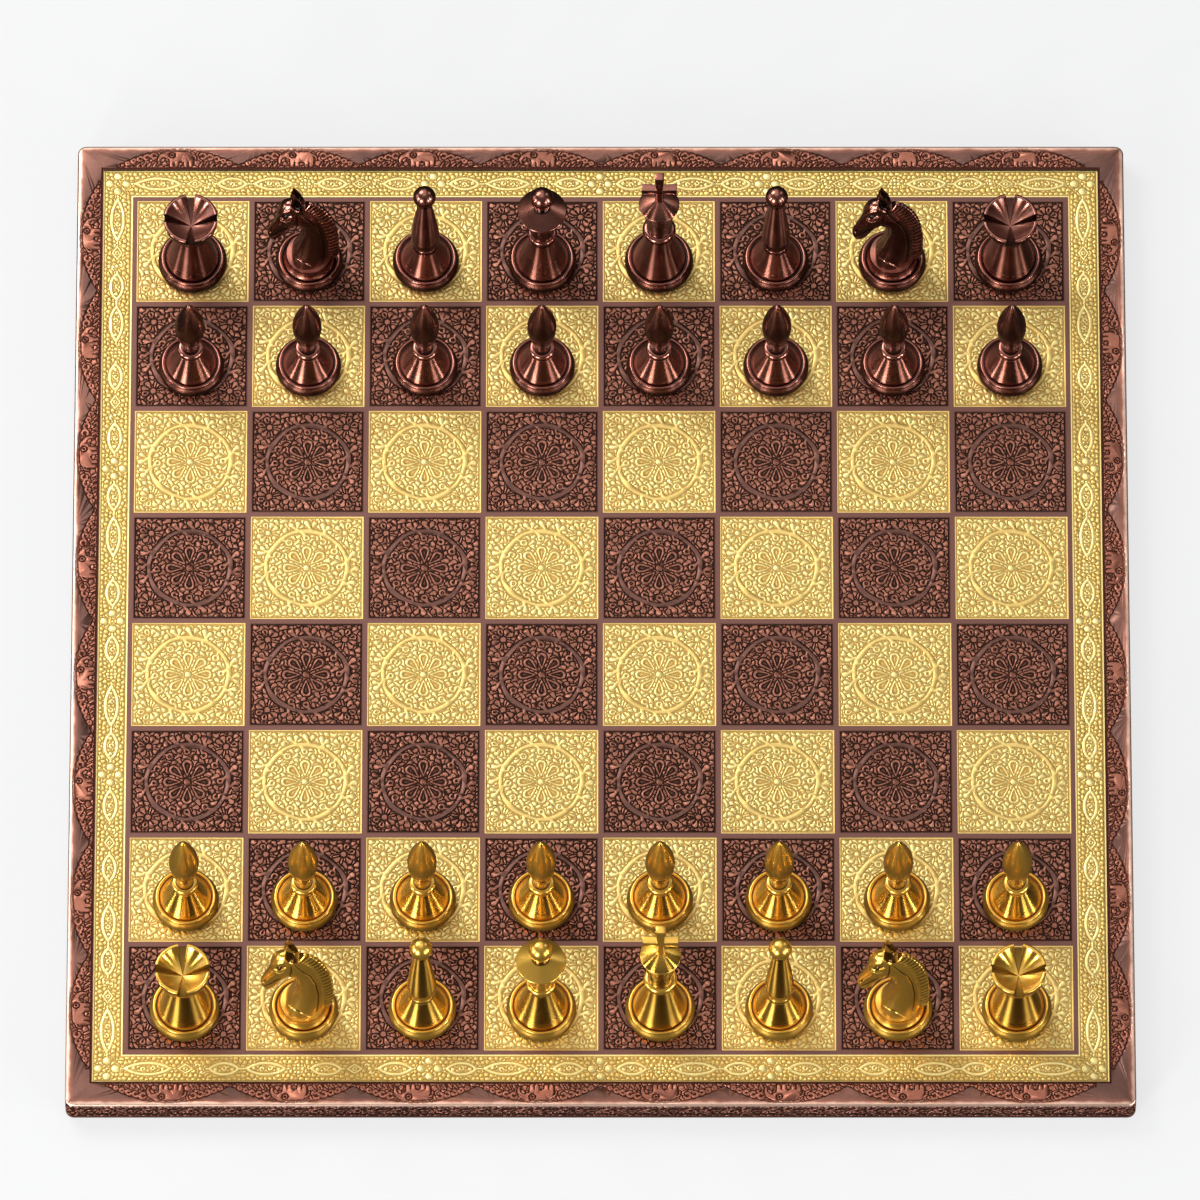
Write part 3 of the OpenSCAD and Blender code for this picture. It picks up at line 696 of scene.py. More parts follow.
def square_height(x, y):
    """Height and polish of the ornament at points measured from the square's middle."""
    rng = random.Random(7)
    shapes, cuts, cores = [disc(x, y, 0, 0, 1.25)], [], []
    for k in range(8):
        a = 45 * k
        shapes.append(drop(x, y, polar(a, 2.2), polar(a, 6.4), 0.25, 1.85))
        cuts.append(drop(x, y, polar(a, 3.3), polar(a, 6.3), 0.12, 0.9))
        cores.append(drop(x, y, polar(a, 4.3), polar(a, 6.1), 0.1, 0.42))
    angle = np.arctan2(y, x)
    wave = 0.16 * np.sin(4 * angle + 0.7) + 0.12 * np.sin(7 * angle)
    vine = np.abs(np.hypot(x, y) - VINE_R - wave) - VINE_HALF - 0.14 * np.sin(5 * angle + 1)
    shapes.append(vine)
    for side in range(4):
        for k in (-1, 0, 1):
            a = 90 * side + 18.5 * k + rng.uniform(-1, 1)
            bud = [polar(a - 7, VINE_R + 0.1), polar(a - 4.5, 15.0), polar(a - 1.2, 15.8), polar(a, BUD_R)]
            shapes.append(stroke(x, y, bud, [0.7, 0.6, 0.62, 1.12]))
        for k in (-1.42, -0.5, 0.55):
            a = 90 * side + 18.5 * k
            shapes.append(drop(x, y, polar(a + 2, 15.5), polar(a, BUD_R), 0.35, 0.95))
    for k in range(12):
        a = 30 * k + 2 + rng.uniform(-2, 2)
        cx, cy = polar(a, CURL_R)
        if k % 3 == 0:
            stem = [polar(a + 7, VINE_R - 0.3), polar(a + 4, 12.5), polar(a, CURL_R)]
            shapes.append(stroke(x, y, stem, [0.6, 0.6, 1.3]))
            cuts.append(disc(x, y, cx, cy, 0.42))
        elif k % 3 == 1:
            shapes.append(ring(x, y, cx, cy, 1.4, 0.5))
            shapes.append(stroke(x, y, [polar(a + 7, VINE_R - 0.3), polar(a + 3, 12.3)], [0.6, 0.45]))
        else:
            stem = [polar(a + 9, VINE_R - 0.3), polar(a + 8, 12.6)]
            shapes.append(hook(x, y, cx, cy, 1.08, a + 60, -290, stem, 0.46))
    for sx in (-1, 1):
        for sy in (-1, 1):
            more, less = corner_flower(x, y, sx, sy)
            shapes += more
            cuts += less
    edge = SQUARE_W / 2 - np.maximum(np.abs(x), np.abs(y))
    bent_x, bent_y = x + 0.45 * np.sin(1.9 * y + 0.6 * x), y + 0.45 * np.sin(1.7 * x - 0.5 * y + 1)
    ground = np.minimum(pebbles(bent_x, bent_y, SQUARE_W + 2, SQUARE_W + 2, 2.15, rng), edge - 0.62)
    height = np.maximum(emboss(shapes, cuts, ground), smooth((0.5 - edge) / EDGE_SOFT))
    height = np.maximum(height, 0.5 * smooth(-np.minimum.reduce(cores) / EDGE_SOFT))
    polish = smooth((vine - 0.05) / 0.3) * smooth((edge - 0.4) / 0.3)
    return height, polish


middle_height = square_height(np.zeros((1, 1)), np.zeros((1, 1)))[0]
print("height at the middle of the rosette:", round(float(middle_height.max()), 2))

# %% [markdown]
# A relief becomes a mesh as a fine grid whose points are lifted by the height, closed below, and then
# thinned where it is flat. The height and the polish are stored on the mesh, so that the material can find
# the grooves.

# %% Meshes that carry values


def values_of(mesh, name):
    """The values stored on a mesh's points under a name, or 1 all over."""
    values = np.ones(len(mesh.vertices), np.float32)
    if name in mesh.attributes:
        mesh.attributes[name].data.foreach_get("value", values)
    return values


def store_values(mesh, name, values):
    """Stores one value for each point under a name."""
    if name in mesh.attributes:
        mesh.attributes.remove(mesh.attributes[name])
    stored_values = mesh.attributes.new(name, "FLOAT", "POINT").data
    stored_values.foreach_set("value", np.asarray(values, np.float32))


def solid_mesh(name, points, quads, caps, relief, polish):
    """A mesh from points in millimetres, quads, larger closing faces, and two values for each point."""
    mesh = bpy.data.meshes.new(name)
    mesh.vertices.add(len(points))
    mesh.vertices.foreach_set("co", (points * MM).astype(np.float32).ravel())
    corners = np.concatenate([quads.ravel()] + [np.asarray(cap) for cap in caps]).astype(np.int32)
    sizes = np.concatenate([np.full(len(quads), 4), [len(cap) for cap in caps]]).astype(np.int32)
    mesh.loops.add(len(corners))
    mesh.loops.foreach_set("vertex_index", corners)
    mesh.polygons.add(len(sizes))
    mesh.polygons.foreach_set("loop_start", (np.cumsum(sizes) - sizes).astype(np.int32))
    mesh.update(calc_edges=True)
    store_values(mesh, "relief", np.ravel(relief))
    store_values(mesh, "polish", np.ravel(polish))
    return mesh


def grid_quads(rows, columns, closed=False):
    """Corners of the quads of a grid of points, row by row. A closed grid joins its last row to its first."""
    index = np.arange(rows * columns).reshape(rows, columns)
    if closed:
        index = np.vstack([index, index[:1]])
    return np.stack([index[:-1, :-1], index[:-1, 1:], index[1:, 1:], index[1:, :-1]], 2).reshape(-1, 4)


print("a grid of 3 by 4 points has", len(grid_quads(3, 4)), "quads")

# %% Apply modifiers, and add a piece to the scene
SHARP_ANGLE = 40


def applied(mesh, *modifiers):
    """The mesh with modifiers applied: each is a kind and its settings."""
    thing = bpy.data.objects.new("work", mesh)
    bpy.context.scene.collection.objects.link(thing)
    for kind, settings in modifiers:
        modifier = thing.modifiers.new(kind, kind)
        for label, value in settings.items():
            setattr(modifier, label, value)
    depsgraph = bpy.context.evaluated_depsgraph_get()
    result = bpy.data.meshes.new_from_object(thing.evaluated_get(depsgraph), depsgraph=depsgraph)
    bpy.data.objects.remove(thing)
    return result


def add_piece(name, mesh, material, body, node):
    """Puts a piece in the scene: smooth shaded, riding its body and standing for its node."""
    if not mesh.materials:
        mesh.materials.append(material)
        mesh.shade_smooth()
        mesh.set_sharp_from_angle(angle=math.radians(SHARP_ANGLE))
    piece = bpy.data.objects.new(name, mesh)
    bpy.context.scene.collection.objects.link(piece)
    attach(piece, body)
    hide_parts(node)
    return piece


print("edges sharper than", SHARP_ANGLE, "degrees stay sharp")

# %% The mesh of a square
SQUARE_DEPTH = 0.32
LIGHT_DEPTH = 0.14
RELIEF_STEP = 0.15
SQUARE_FACES_KEPT = 0.22
SIDE_VALUE = 0.6


def plate_mesh(name, width, height_of, low, high, depth):
    """A square plate with an embossed top: the grid's rim is repeated below to close it."""
    n = int(width / RELIEF_STEP) + 1
    axis = np.linspace(-width / 2, width / 2, n)
    x, y = np.meshgrid(axis, axis)
    height, polish = height_of(x, y)
    top = np.stack([x, y, high - depth * (1 - height)], 2).reshape(-1, 3)
    index = np.arange(n * n).reshape(n, n)
    rim = np.concatenate([index[0, :-1], index[:-1, -1], index[-1, :0:-1], index[:0:-1, 0]])
    below = top[rim].copy()
    below[:, 2] = low
    under = n * n + np.arange(len(rim))
    sides = np.stack([rim, under, np.roll(under, -1), np.roll(rim, -1)], 1)
    spare = np.full(len(rim), SIDE_VALUE)
    points, quads = np.concatenate([top, below]), np.concatenate([grid_quads(n, n), sides])
    relief, polish = np.concatenate([height.ravel(), spare]), np.concatenate([polish.ravel(), spare])
    return solid_mesh(name, points, quads, [under[::-1]], relief, polish)


def shallower(mesh, top, ratio):
    """A copy of an embossed mesh with its relief pressed less deep."""
    copy = mesh.copy()
    for vertex in copy.vertices:
        if vertex.co.z > (top - SQUARE_DEPTH - 0.01) * MM:
            vertex.co.z = top * MM - (top * MM - vertex.co.z) * ratio
    return copy


square_mesh = applied(plate_mesh("square", SQUARE_W, square_height, PLATE_LOW, PLAY_Z, SQUARE_DEPTH),
                      ("DECIMATE", {"ratio": SQUARE_FACES_KEPT}))
light_mesh = shallower(square_mesh, PLAY_Z, LIGHT_DEPTH / SQUARE_DEPTH)
print("square relief:", len(square_mesh.polygons), "faces")

# %% [markdown]
# The sixty-four squares share two meshes, one pressed deep and dark, one shallow and light. File a and row
# 1 meet in a dark square at the near left, as the rules of chess ask.

# %% Lay the sixty-four squares
FILES = "abcdefgh"
MIDDLE = (SQUARES - 1) / 2
SQUARE_LOOKS = (("dark_squares", dark_copper, "copper_brown", square_mesh),
                ("light_squares", light_brass, "light_brass", light_mesh))


def square_centre(column, row):
    return (column - MIDDLE) * PITCH, (row - MIDDLE) * PITCH


for column in range(SQUARES):
    for row in range(SQUARES):
        node, metal, slot, mesh = SQUARE_LOOKS[(column + row) % 2]
        tile = add_piece(f"square_{FILES[column]}{row + 1}", mesh, metal, "board", node)
        x, y = square_centre(column, row)
        tile.location = (x * MM, y * MM, 0)
print(SQUARES * SQUARES, "squares laid, the near left one at", [round(v, 2) for v in square_centre(0, 0)])

# %% [markdown]
# ## Mitred strips
# The brass band and the copper frame are long mouldings cut at 45 degrees and joined at the corners, so one
# side is made and laid four times, a quarter turn apart. A strip is its section, drawn as rows from the
# inner edge outwards, swept along the side. Near the frame's rounded corners the outer rows bend round with
# the corner.

# %% Sweep a section along one side
COLUMNS = 2300


def swept_side(name, half_width, corner_r, section, lanes, depth):
    """One side's mesh. A section row is (inset, z, out, up, lane, place): its inset from the edge, its
    height, the way its surface faces, and the ornament lane that it belongs to with its place across it."""
    inset = np.array([row[0] for row in section])[:, None]
    z, out, up = (np.array([row[k] for row in section])[:, None] for k in (1, 2, 3))
    bend_r = np.maximum(corner_r - inset, 0)
    straight = np.where(inset < corner_r, half_width - corner_r, half_width - inset)
    s = np.linspace(-1, 1, COLUMNS)[None, :] * (straight + bend_r * math.pi / 4)
    over = np.sign(s) * np.maximum(np.abs(s) - straight, 0) / np.maximum(bend_r, 1e-9)
    over = np.where(bend_r > 0, over, 0)
    run = np.clip(s, -straight, straight)
    x, y = run + bend_r * np.sin(over), -half_width + inset + bend_r * (1 - np.cos(over))
    height, polish = np.ones(x.shape), np.zeros(x.shape)
    for lane, ornament in lanes.items():
        rows = [k for k, row in enumerate(section) if row[4] == lane]
        place = np.array([section[k][5] for k in rows])[:, None] + 0 * x[rows]
        height[rows], polish[rows] = ornament(s[rows], place)
    sink = depth * (1 - height)
    sunk = [x - np.sin(over) * out * sink, y + np.cos(over) * out * sink, z - up * sink]
    first = np.arange(len(section)) * COLUMNS
    caps = [first, (first + COLUMNS - 1)[::-1]]
    quads = grid_quads(len(section), COLUMNS, closed=True)
    return solid_mesh(name, np.stack(sunk, 2).reshape(-1, 3), quads, caps, height, polish)


def lay_four(name, mesh, metal, node):
    """Four copies of one side, a quarter turn apart."""
    for turn, side in enumerate(("front", "right", "back", "left")):
        strip = add_piece(f"{name}_{side}", mesh, metal, "board", node)
        strip.rotation_euler.z = turn * math.pi / 2


print(f"a side of the board has a column every {BOARD_W / (COLUMNS - 1):.2f} mm")

# %% [markdown]
# ## The brass band
# A chain of pointed ovals runs round the board, each an outlined leaf with small scrolls in it, with
# lozenges, knots and four-lobed flowers between. It is the same from the middle of a side to either corner,
# so that four sides meet cleanly in a flower at each corner.

# %% Height of the band's ornament
BAND_HALF = border_size.x / 2
BAND_MID = BORDER_W / 2
OVAL_HALF = 2.7
OVAL_RIM = 1.2
BAND_LINE = 0.06
BAND_DEPTH = 0.16
BAND_FACES_KEPT = 0.25
FLOWER_HALF = 4.45
FLOWER_REACH, FLOWER_LOBE = 2.85, 1.45
DOTS_REACH, DOTS_LOBE = 1.35, 0.72
# Kinds of link from a corner to the middle of a side, each with its relative length.
CHAIN = (("oval", 18.7), ("lozenge", 6.6), ("knot", 3.4), ("oval", 12.3), ("oval", 16.0), ("dots", 6.0),
         ("oval", 12.4), ("lozenge", 6.6), ("knot", 3.4), ("oval", 14.0), ("flower", 9.0), ("oval", 12.4),
         ("oval", 17.6), ("dots", 6.0), ("oval", 12.4))


def four_lobes(x, y, cx, cy, reach, r):
    """Four round lobes round a small boss."""
    shapes = [disc(x, y, cx, cy, 0.55)]
    for a in range(0, 360, 90):
        shapes.append(disc(x, y, *polar(a, reach, cx, cy), r))
        shapes.append(drop(x, y, polar(a + 45, 1.7, cx, cy), polar(a + 45, reach + 0.3, cx, cy), 0.15, 0.5))
    return shapes


def oval_link(x, y, cx, half):
    """A pointed oval: a broad rim stands up round scrolls and dots."""
    bend = (half * half - OVAL_HALF * OVAL_HALF) / (2 * OVAL_HALF)
    body = np.hypot(x - cx, np.abs(y - BAND_MID) + bend) - (bend + OVAL_HALF)
    shapes = [np.abs(body + OVAL_RIM / 2) - OVAL_RIM / 2]
    count = max(round(half / 2.0), 2)
    step = 2 * half * 0.74 / count
    for k in range(count):
        u = (k - (count - 1) / 2) * step
        side = 1 if k % 2 else -1
        room = OVAL_HALF * (1 - (u / half) ** 2) - OVAL_RIM
        if room > 0.5:
            r = min(room * 0.8, 1.2)
            shapes.append(hook(x, y, cx + u, BAND_MID + side * 0.15, r * 0.66, side * 90, 290, (), 0.4))
        shapes.append(disc(x, y, cx + u + step / 2, BAND_MID - side * 0.7, 0.5))
        shapes.append(disc(x, y, cx + u + step / 2, BAND_MID + side * 0.6, 0.4))
    for end in (-1, 1):
        shapes.append(disc(x, y, cx + end * (half + 0.1), BAND_MID, 0.55))
    return shapes


def link_shapes(kind, x, y, cx, half):
    """The shapes of one link of the chain."""
    if kind == "oval":
        return oval_link(x, y, cx, half - 0.5)
    if kind == "lozenge":
        body = np.abs(x - cx) * 0.55 + np.abs(y - BAND_MID) * 0.83 - 1.7
        return [np.abs(body + 0.38) - 0.38, ring(x, y, cx, BAND_MID, 0.95, 0.28)]
    if kind == "knot":
        shapes = [disc(x, y, cx, BAND_MID, 0.75)]
        for side in (-1, 1):
            shapes.append(disc(x, y, cx, BAND_MID + 1.5 * side, 0.5))
            shapes.append(hook(x, y, cx + 0.9 * side, BAND_MID + 1.1 * side, 0.7, 90 - 90 * side, 200))
        return shapes
    if kind == "flower":
        return four_lobes(x, y, cx, BAND_MID, FLOWER_REACH, FLOWER_LOBE)
    return four_lobes(x, y, cx, BAND_MID, DOTS_REACH, DOTS_LOBE)


def band_height(s, place):
    """Height and polish of the band, s along the side and place in from its outer edge."""
    rng = random.Random(11)
    x, y = np.abs(s), place
    corner = BAND_HALF - BAND_MID
    shapes = [shape for cx in (corner, 0) for shape in link_shapes("flower", x, y, cx, FLOWER_HALF)]
    at = corner - FLOWER_HALF
    stretch = (at - FLOWER_HALF) / sum(length for _, length in CHAIN)
    for kind, length in CHAIN:
        half = length * stretch / 2
        shapes += link_shapes(kind, x, y, at - half, half)
        at -= 2 * half
    edge = np.minimum(place, BORDER_W - place)
    ground = np.minimum(pebbles(x - BAND_HALF / 2, y - BAND_MID, BAND_HALF, BORDER_W, 1.75, rng), edge - 0.75)
    height = np.maximum(emboss(shapes, [], ground, BAND_LINE), smooth((0.62 - edge) / EDGE_SOFT))
    polish = smooth(-np.minimum.reduce(shapes) / EDGE_SOFT)
    return height, np.maximum(polish, smooth((0.7 - edge) / EDGE_SOFT))


def across(low, high):
    """Places from low to high, a relief step apart."""
    return np.linspace(low, high, max(int(abs(high - low) / RELIEF_STEP), 1) + 1)


band_section = [(t, PLAY_Z, 0, 1, "band", t) for t in across(BORDER_W, 0)]
band_section += [(0, PLATE_LOW, 0, 0, "", 0), (BORDER_W, PLATE_LOW, 0, 0, "", 0)]
band_mesh = applied(swept_side("band", BAND_HALF, 0, band_section, {"band": band_height}, BAND_DEPTH),
                    ("DECIMATE", {"ratio": BAND_FACES_KEPT}))
lay_four("brass_band", band_mesh, pale_brass, "brass_border")
print("band:", len(band_mesh.polygons), "faces a side")

# %% [markdown]
# ## The copper frame
# Eight shallow arches stand on each side's inner edge, each with a scalloped edge, and filled with an
# elephant between scrolls, as a roller die would press them. Between the arches the sheet is plain, and its
# patina shows. A running scroll covers the outer side. The far side is mirrored, so that its elephants face
# left in the picture, like the near ones.

# %% Height of the frame's ornament
ARCHES = 8
ARCH_START = 14.0
ARCH_PITCH = (BOARD_W - 2 * ARCH_START) / ARCHES
ARCH_TOP, ARCH_VALLEY = 7.0, 0.9
ARCH_LINE = 0.1
SCALLOP = 2.4
SCROLL_PITCH = 14.0
SKIRT_LOW = frame_low.z
RIM_R = 0.9
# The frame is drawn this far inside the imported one's outer face.
SKIN = 0.06
FRAME_DEPTH = 0.3
FRAME_FACES_KEPT = 0.18


def elephant(x, y):
    """A small elephant that faces left and stands on y = 0."""
    shapes = [drop(x, y, (-1.2, 4.2), (2.8, 4.1), 2.1, 2.0), disc(x, y, -3.3, 4.8, 1.6)]
    for leg in (-2.4, -0.7, 2.5, 4.2):
        shapes.append(stroke(x, y, [(leg, 3.4), (leg, 0.9)], [0.85, 0.72]))
    trunk = [(-4.4, 5.0), (-6.0, 4.3), (-6.8, 3.0), (-6.6, 1.6)]
    tail = [(4.6, 5.0), (5.7, 4.2), (6.0, 2.9)]
    shapes.append(stroke(x, y, trunk, [0.95, 0.75, 0.55, 0.45]))
    shapes.append(stroke(x, y, tail, [0.36, 0.32, 0.3]))
    ear = np.abs(np.hypot(x + 2.2, y - 4.8) - 1.05) - 0.16
    gap = stroke(x, y, [(0.5, 0.8), (0.8, 2.2), (1.1, 0.8)], [0.3, 0.3, 0.3])
    return shapes, [ear, disc(x, y, -2.2, 4.8, 0.34), gap]


def crown(x):
    """How far an arch reaches out at x from its middle: a low hill with a scalloped edge."""
    hill = 1 - np.abs(2 * x / ARCH_PITCH) ** 2.1
    scallops = 0.3 * np.abs(np.sin(math.pi * x / SCALLOP)) - 0.15
    return ARCH_VALLEY + (ARCH_TOP - ARCH_VALLEY) * hill + scallops


def frame_top_height(s, place):
    """Height and polish of the frame's top, place measured out from its inner edge."""
    rng = random.Random(23)
    end = BOARD_W / 2 - ARCH_START - np.abs(s)
    x, y = s % ARCH_PITCH - ARCH_PITCH / 2, place - 0.75
    inside = np.minimum(np.minimum((crown(x) - y) * 0.9, end * 0.8 + 0.3), y + 0.2)
    shapes, cuts = elephant(x, y)
    for side in (-1, 1):
        for k in range(5):
            cx, r = side * (8.4 + 2.6 * k - 0.08 * k * k), 1.6 - 0.16 * k
            cy = max(float(crown(cx)) - r - 0.25, r * 0.8)
            shapes.append(hook(x, y, cx, cy, r * 0.72, 90 + 70 * side, -290 * side, (), 0.5))
        for k in range(4):
            cx = side * (8.0 + 1.9 * k)
            shapes.append(stroke(x, y, [(cx - 0.5, 0.5), (cx + 0.3, 1.9 - 0.2 * k)], [0.5, 0.42]))
    ground = pebbles(x, y - 3.4, ARCH_PITCH, 8.4, 1.95, rng, wraps=True)
    filling = np.minimum(emboss(shapes, cuts, ground, ARCH_LINE), smooth((inside - 0.2) / EDGE_SOFT))
    plain = smooth((-inside - 0.02) / EDGE_SOFT)
    height = np.maximum(filling, plain)
    # A narrow groove runs along the frame's inner edge; its dark groove colour is a painted shadow line for
    # the gap beside the band.
    seam = smooth((0.33 - np.abs(place - 0.4)) / 0.15)
    height = np.minimum(height, 1 - seam * smooth((end + ARCH_START - 0.3) / EDGE_SOFT))
    return height, 0.6 * smooth((inside - 0.05) / 0.1)


def frame_side_height(s, place):
    """Height and polish of the frame's outer side, place measured up from its lower edge."""
    rng = random.Random(31)
    deep = FRAME_TOP - SKIRT_LOW
    x, y = (s + SCROLL_PITCH / 2) % SCROLL_PITCH - SCROLL_PITCH / 2, place - deep / 2
    vine = np.abs(y - 1.7 * np.sin(2 * math.pi * x / SCROLL_PITCH)) * 0.8 - 0.42
    shapes, cuts = [vine], []
    for cx, side in ((-3.5, 1), (3.5, -1)):
        shapes.append(hook(x, y, cx, -side * 0.9, 1.6, -90 * side, 300 * side, (), 0.5))
        shapes.append(drop(x, y, (cx + 2.2, side * 2.3), (cx + 3.6, side * 3.0), 0.3, 0.85))
    edge = np.minimum(place, deep - place)
    ground = np.minimum(pebbles(x, y, SCROLL_PITCH, deep, 2.2, rng, wraps=True), edge - 1.0)
    height = np.maximum(emboss(shapes, cuts, ground), smooth((0.8 - edge) / EDGE_SOFT))
    return height, 0.2 * height


frame_section = [(FRAME_W, FRAME_TOP - 0.25, 0, 0, "", 0)]
frame_section += [(t, FRAME_TOP, 0, 1, "top", FRAME_W - t) for t in across(FRAME_W - 0.2, RIM_R)]
for a in np.radians(np.linspace(90, 180, 7)[1:-1]):
    c, d = math.cos(a), math.sin(a)
    frame_section.append((RIM_R + RIM_R * c, FRAME_TOP - RIM_R + RIM_R * d, -c, d, "rim", 0))
frame_section += [(0, z, 1, 0, "side", z - SKIRT_LOW) for z in across(FRAME_TOP - RIM_R, SKIRT_LOW)]
for inset, z in ((RIM_R, SKIRT_LOW), (RIM_R, PLATE_LOW), (FRAME_W, PLATE_LOW)):
    frame_section.append((inset, z, 0, 0, "", 0))
frame_lanes = {"top": frame_top_height, "side": frame_side_height}
frame_side = swept_side("frame", BOARD_W / 2 - SKIN, CORNER_R, frame_section, frame_lanes, FRAME_DEPTH)
frame_mesh = applied(frame_side, ("DECIMATE", {"ratio": FRAME_FACES_KEPT}))
lay_four("copper_frame", frame_mesh, old_copper, "copper_frame")
far_mesh = frame_mesh.copy()
far_mesh.transform(Matrix.Scale(-1, 4, (1, 0, 0)))
far_mesh.flip_normals()
bpy.data.objects["copper_frame_back"].data = far_mesh
print("frame:", len(frame_mesh.polygons), "faces a side")

# %% [markdown]
# ## The bars between the squares
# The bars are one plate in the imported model, and their shape is right, so the node stays. A bevel softens
# its edges, as pressed metal has, and leaves a fine shadow line beside each square.

# %% The bars, the core and the felt base
BAR_BEVEL = 0.25
for node, material in (("lattice", bar_bronze), ("core_panel", core_wood), ("felt_base", felt)):
    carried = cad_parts[node]
    carried.data.materials.clear()
    carried.data.materials.append(material)
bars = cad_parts["lattice"]
for label in ("relief", "polish"):
    store_values(bars.data, label, np.ones(len(bars.data.vertices)))
bevel = bars.modifiers.new("soft_edges", "BEVEL")
bevel.width, bevel.segments, bevel.angle_limit = BAR_BEVEL * MM, 2, math.radians(SHARP_ANGLE)
print("bars:", len(bars.data.polygons), "faces before the bevel")

# %% [markdown]
# ## Turned men
# All men but the knights are turned on a lathe, so each is an outline spun round its axis. The outline is
# drawn with cubic curves and arcs, because a turner's shapes are hollows and swells that run into each
# other. Every foot has the same make: a belly, a thin bead and a groove, from which the cone rises.

# %% Curves for outlines
FOOT_H = 5.8
FOOT_BELLY_H = 2.7
FOOT_TUCK = 0.75
BEAD_R = 0.55
BEAD_INSET = 1.5
GROOVE_W = 0.3
GROOVE_D = 0.9
DISC_T = 0.6


def curve(a, b, c, d, n=12):
    """Points on a cubic curve from a to d, steered by b and c."""
    t = np.linspace(0, 1, n + 1)[:, None]
    a, b, c, d = (np.array(p, float) for p in (a, b, c, d))
    points = (1 - t) ** 3 * a + 3 * (1 - t) ** 2 * t * b + 3 * (1 - t) * t * t * c + t ** 3 * d
    return [tuple(p) for p in points]


def arc(cx, cz, r, a0, a1, n=10, h=None):
    """Points on an arc, stretched by h along the height."""
    angles = np.radians(np.linspace(a0, a1, n + 1))
    return [(cx + r * math.cos(a), cz + (h or r) * math.sin(a)) for a in angles]


def cone_start(r):
    """Where the cone starts on a foot of widest radius r."""
    return r - BEAD_INSET - BEAD_R - GROOVE_W


def foot(r):
    """A foot of widest radius r: belly, bead and groove. It ends where the cone starts."""
    bead_x, bead_z, floor_z = r - BEAD_INSET, FOOT_H - BEAD_R, FOOT_H - GROOVE_D
    bead_out = bead_x + BEAD_R
    return ([(0, DISC_T), (r - FOOT_TUCK, DISC_T)]
            + curve((r - FOOT_TUCK, DISC_T), (r - 0.1, 1.1), (r, 1.8), (r, FOOT_BELLY_H), 8)[1:]
            + curve((r, FOOT_BELLY_H), (r, 4.0), (bead_out + 0.4, bead_z - 0.9), (bead_out, bead_z))[1:]
            + arc(bead_x, bead_z, BEAD_R, 30, 180, 8)
            + [(bead_x - BEAD_R, floor_z), (cone_start(r), floor_z)])


def cone(r, top_r, top_z, sag=0.25):
    """The cone over a foot of radius r, a touch hollow."""
    (ax, az), (bx, bz) = a, b = (cone_start(r), FOOT_H - GROOVE_D), (top_r, top_z)
    thirds = [(ax + (bx - ax) * f - sag, az + (bz - az) * f - sag) for f in (0.33, 0.66)]
    return [(ax - 0.1, az + 0.12)] + curve(a, *thirds, b, 10)[1:]


def collar(r, z, h, a, b):
    """A rounded collar of outer radius r over the radius a below and b above."""
    return [(a, z)] + arc(r - h / 2, z + h / 2, h / 2, -80, 80, 10) + [(b, z + h)]


print(f"a foot of radius 11 has {len(foot(11))} points, and its cone starts at {cone_start(11):.2f}")

# %% [markdown]
# Two values are read off each outline and stored on the mesh. Dirt gathers, and shade is painted, where an
# outline turns sharply inwards. Brushing shows where it runs straight, so what bends by more than a set
# angle in each millimetre counts as round and stays smooth.

# %% Read the outline, and spin it
TURN_STEPS = 96
HOLLOW_TURN = 40
ROUNDED = 0.028


def bends(outline):
    """How far an outline turns at each inner point, in radians, and the length of each of its steps."""
    steps = np.diff(np.array(outline), axis=0)
    before, after = steps[:-1], steps[1:]
    sideways = before[:, 0] * after[:, 1] - before[:, 1] * after[:, 0]
    return np.arctan2(sideways, (before * after).sum(1)), np.hypot(steps[:, 0], steps[:, 1])


def hollows(outline):
    """1 where an outline bulges or runs straight, down to 0 where it turns sharply inwards, where dirt
    gathers and shade is painted.
    """
    marks = np.ones(len(outline))
    marks[1:-1] = np.clip(1 + np.degrees(bends(outline)[0]) / HOLLOW_TURN, 0, 1)
    return marks


def straightness(outline):
    """1 where an outline runs straight, as on a cone, down to 0 on beads and balls."""
    turn, length = bends(outline)
    marks = np.ones(len(outline))
    marks[1:-1] = np.clip(1.2 - np.abs(turn) / (length[:-1] + length[1:]) * 2 / ROUNDED, 0, 1)
    return marks


def turned_mesh(name, outline):
    """Spins an outline that starts and ends on the axis."""
    inner = [p for p in outline if p[0] > 1e-6]
    angles = np.linspace(0, 2 * math.pi, TURN_STEPS, endpoint=False)
    rings = [[(r * math.cos(a), r * math.sin(a), z) for a in angles] for r, z in inner]
    points = [(0, 0, outline[0][1])] + [p for around in rings for p in around] + [(0, 0, outline[-1][1])]
    faces, last, n = [], len(points) - 1, TURN_STEPS
    for k in range(n):
        after = (k + 1) % n
        faces.append((0, 1 + after, 1 + k))
        faces.append((last, last - n + k, last - n + after))
        for j in range(len(rings) - 1):
            low, high = 1 + j * n, 1 + (j + 1) * n
            faces.append((low + k, low + after, high + after, high + k))
    mesh = bpy.data.meshes.new(name)
    mesh.from_pydata([tuple(v * MM for v in p) for p in points], [], faces)
    for label, marks in (("relief", hollows(inner)), ("lathe", straightness(inner))):
        store_values(mesh, label, [1.0] + [mark for mark in marks for _ in range(TURN_STEPS)] + [1.0])
    return mesh


for label, line in (("cone", cone(11, 3.5, 15.4)), ("foot", foot(11))):
    print(label, "points that count as straight:", int((straightness(line) > 0.5).sum()), "of", len(line))

# %% [markdown]
# Each outline runs from the foot up. A pawn ends in a pointed bud, a bishop in a long body with a ball, a
# queen in a broad brim with a ball, a king in a crown that carries a cross, and a rook in a wide bowl.

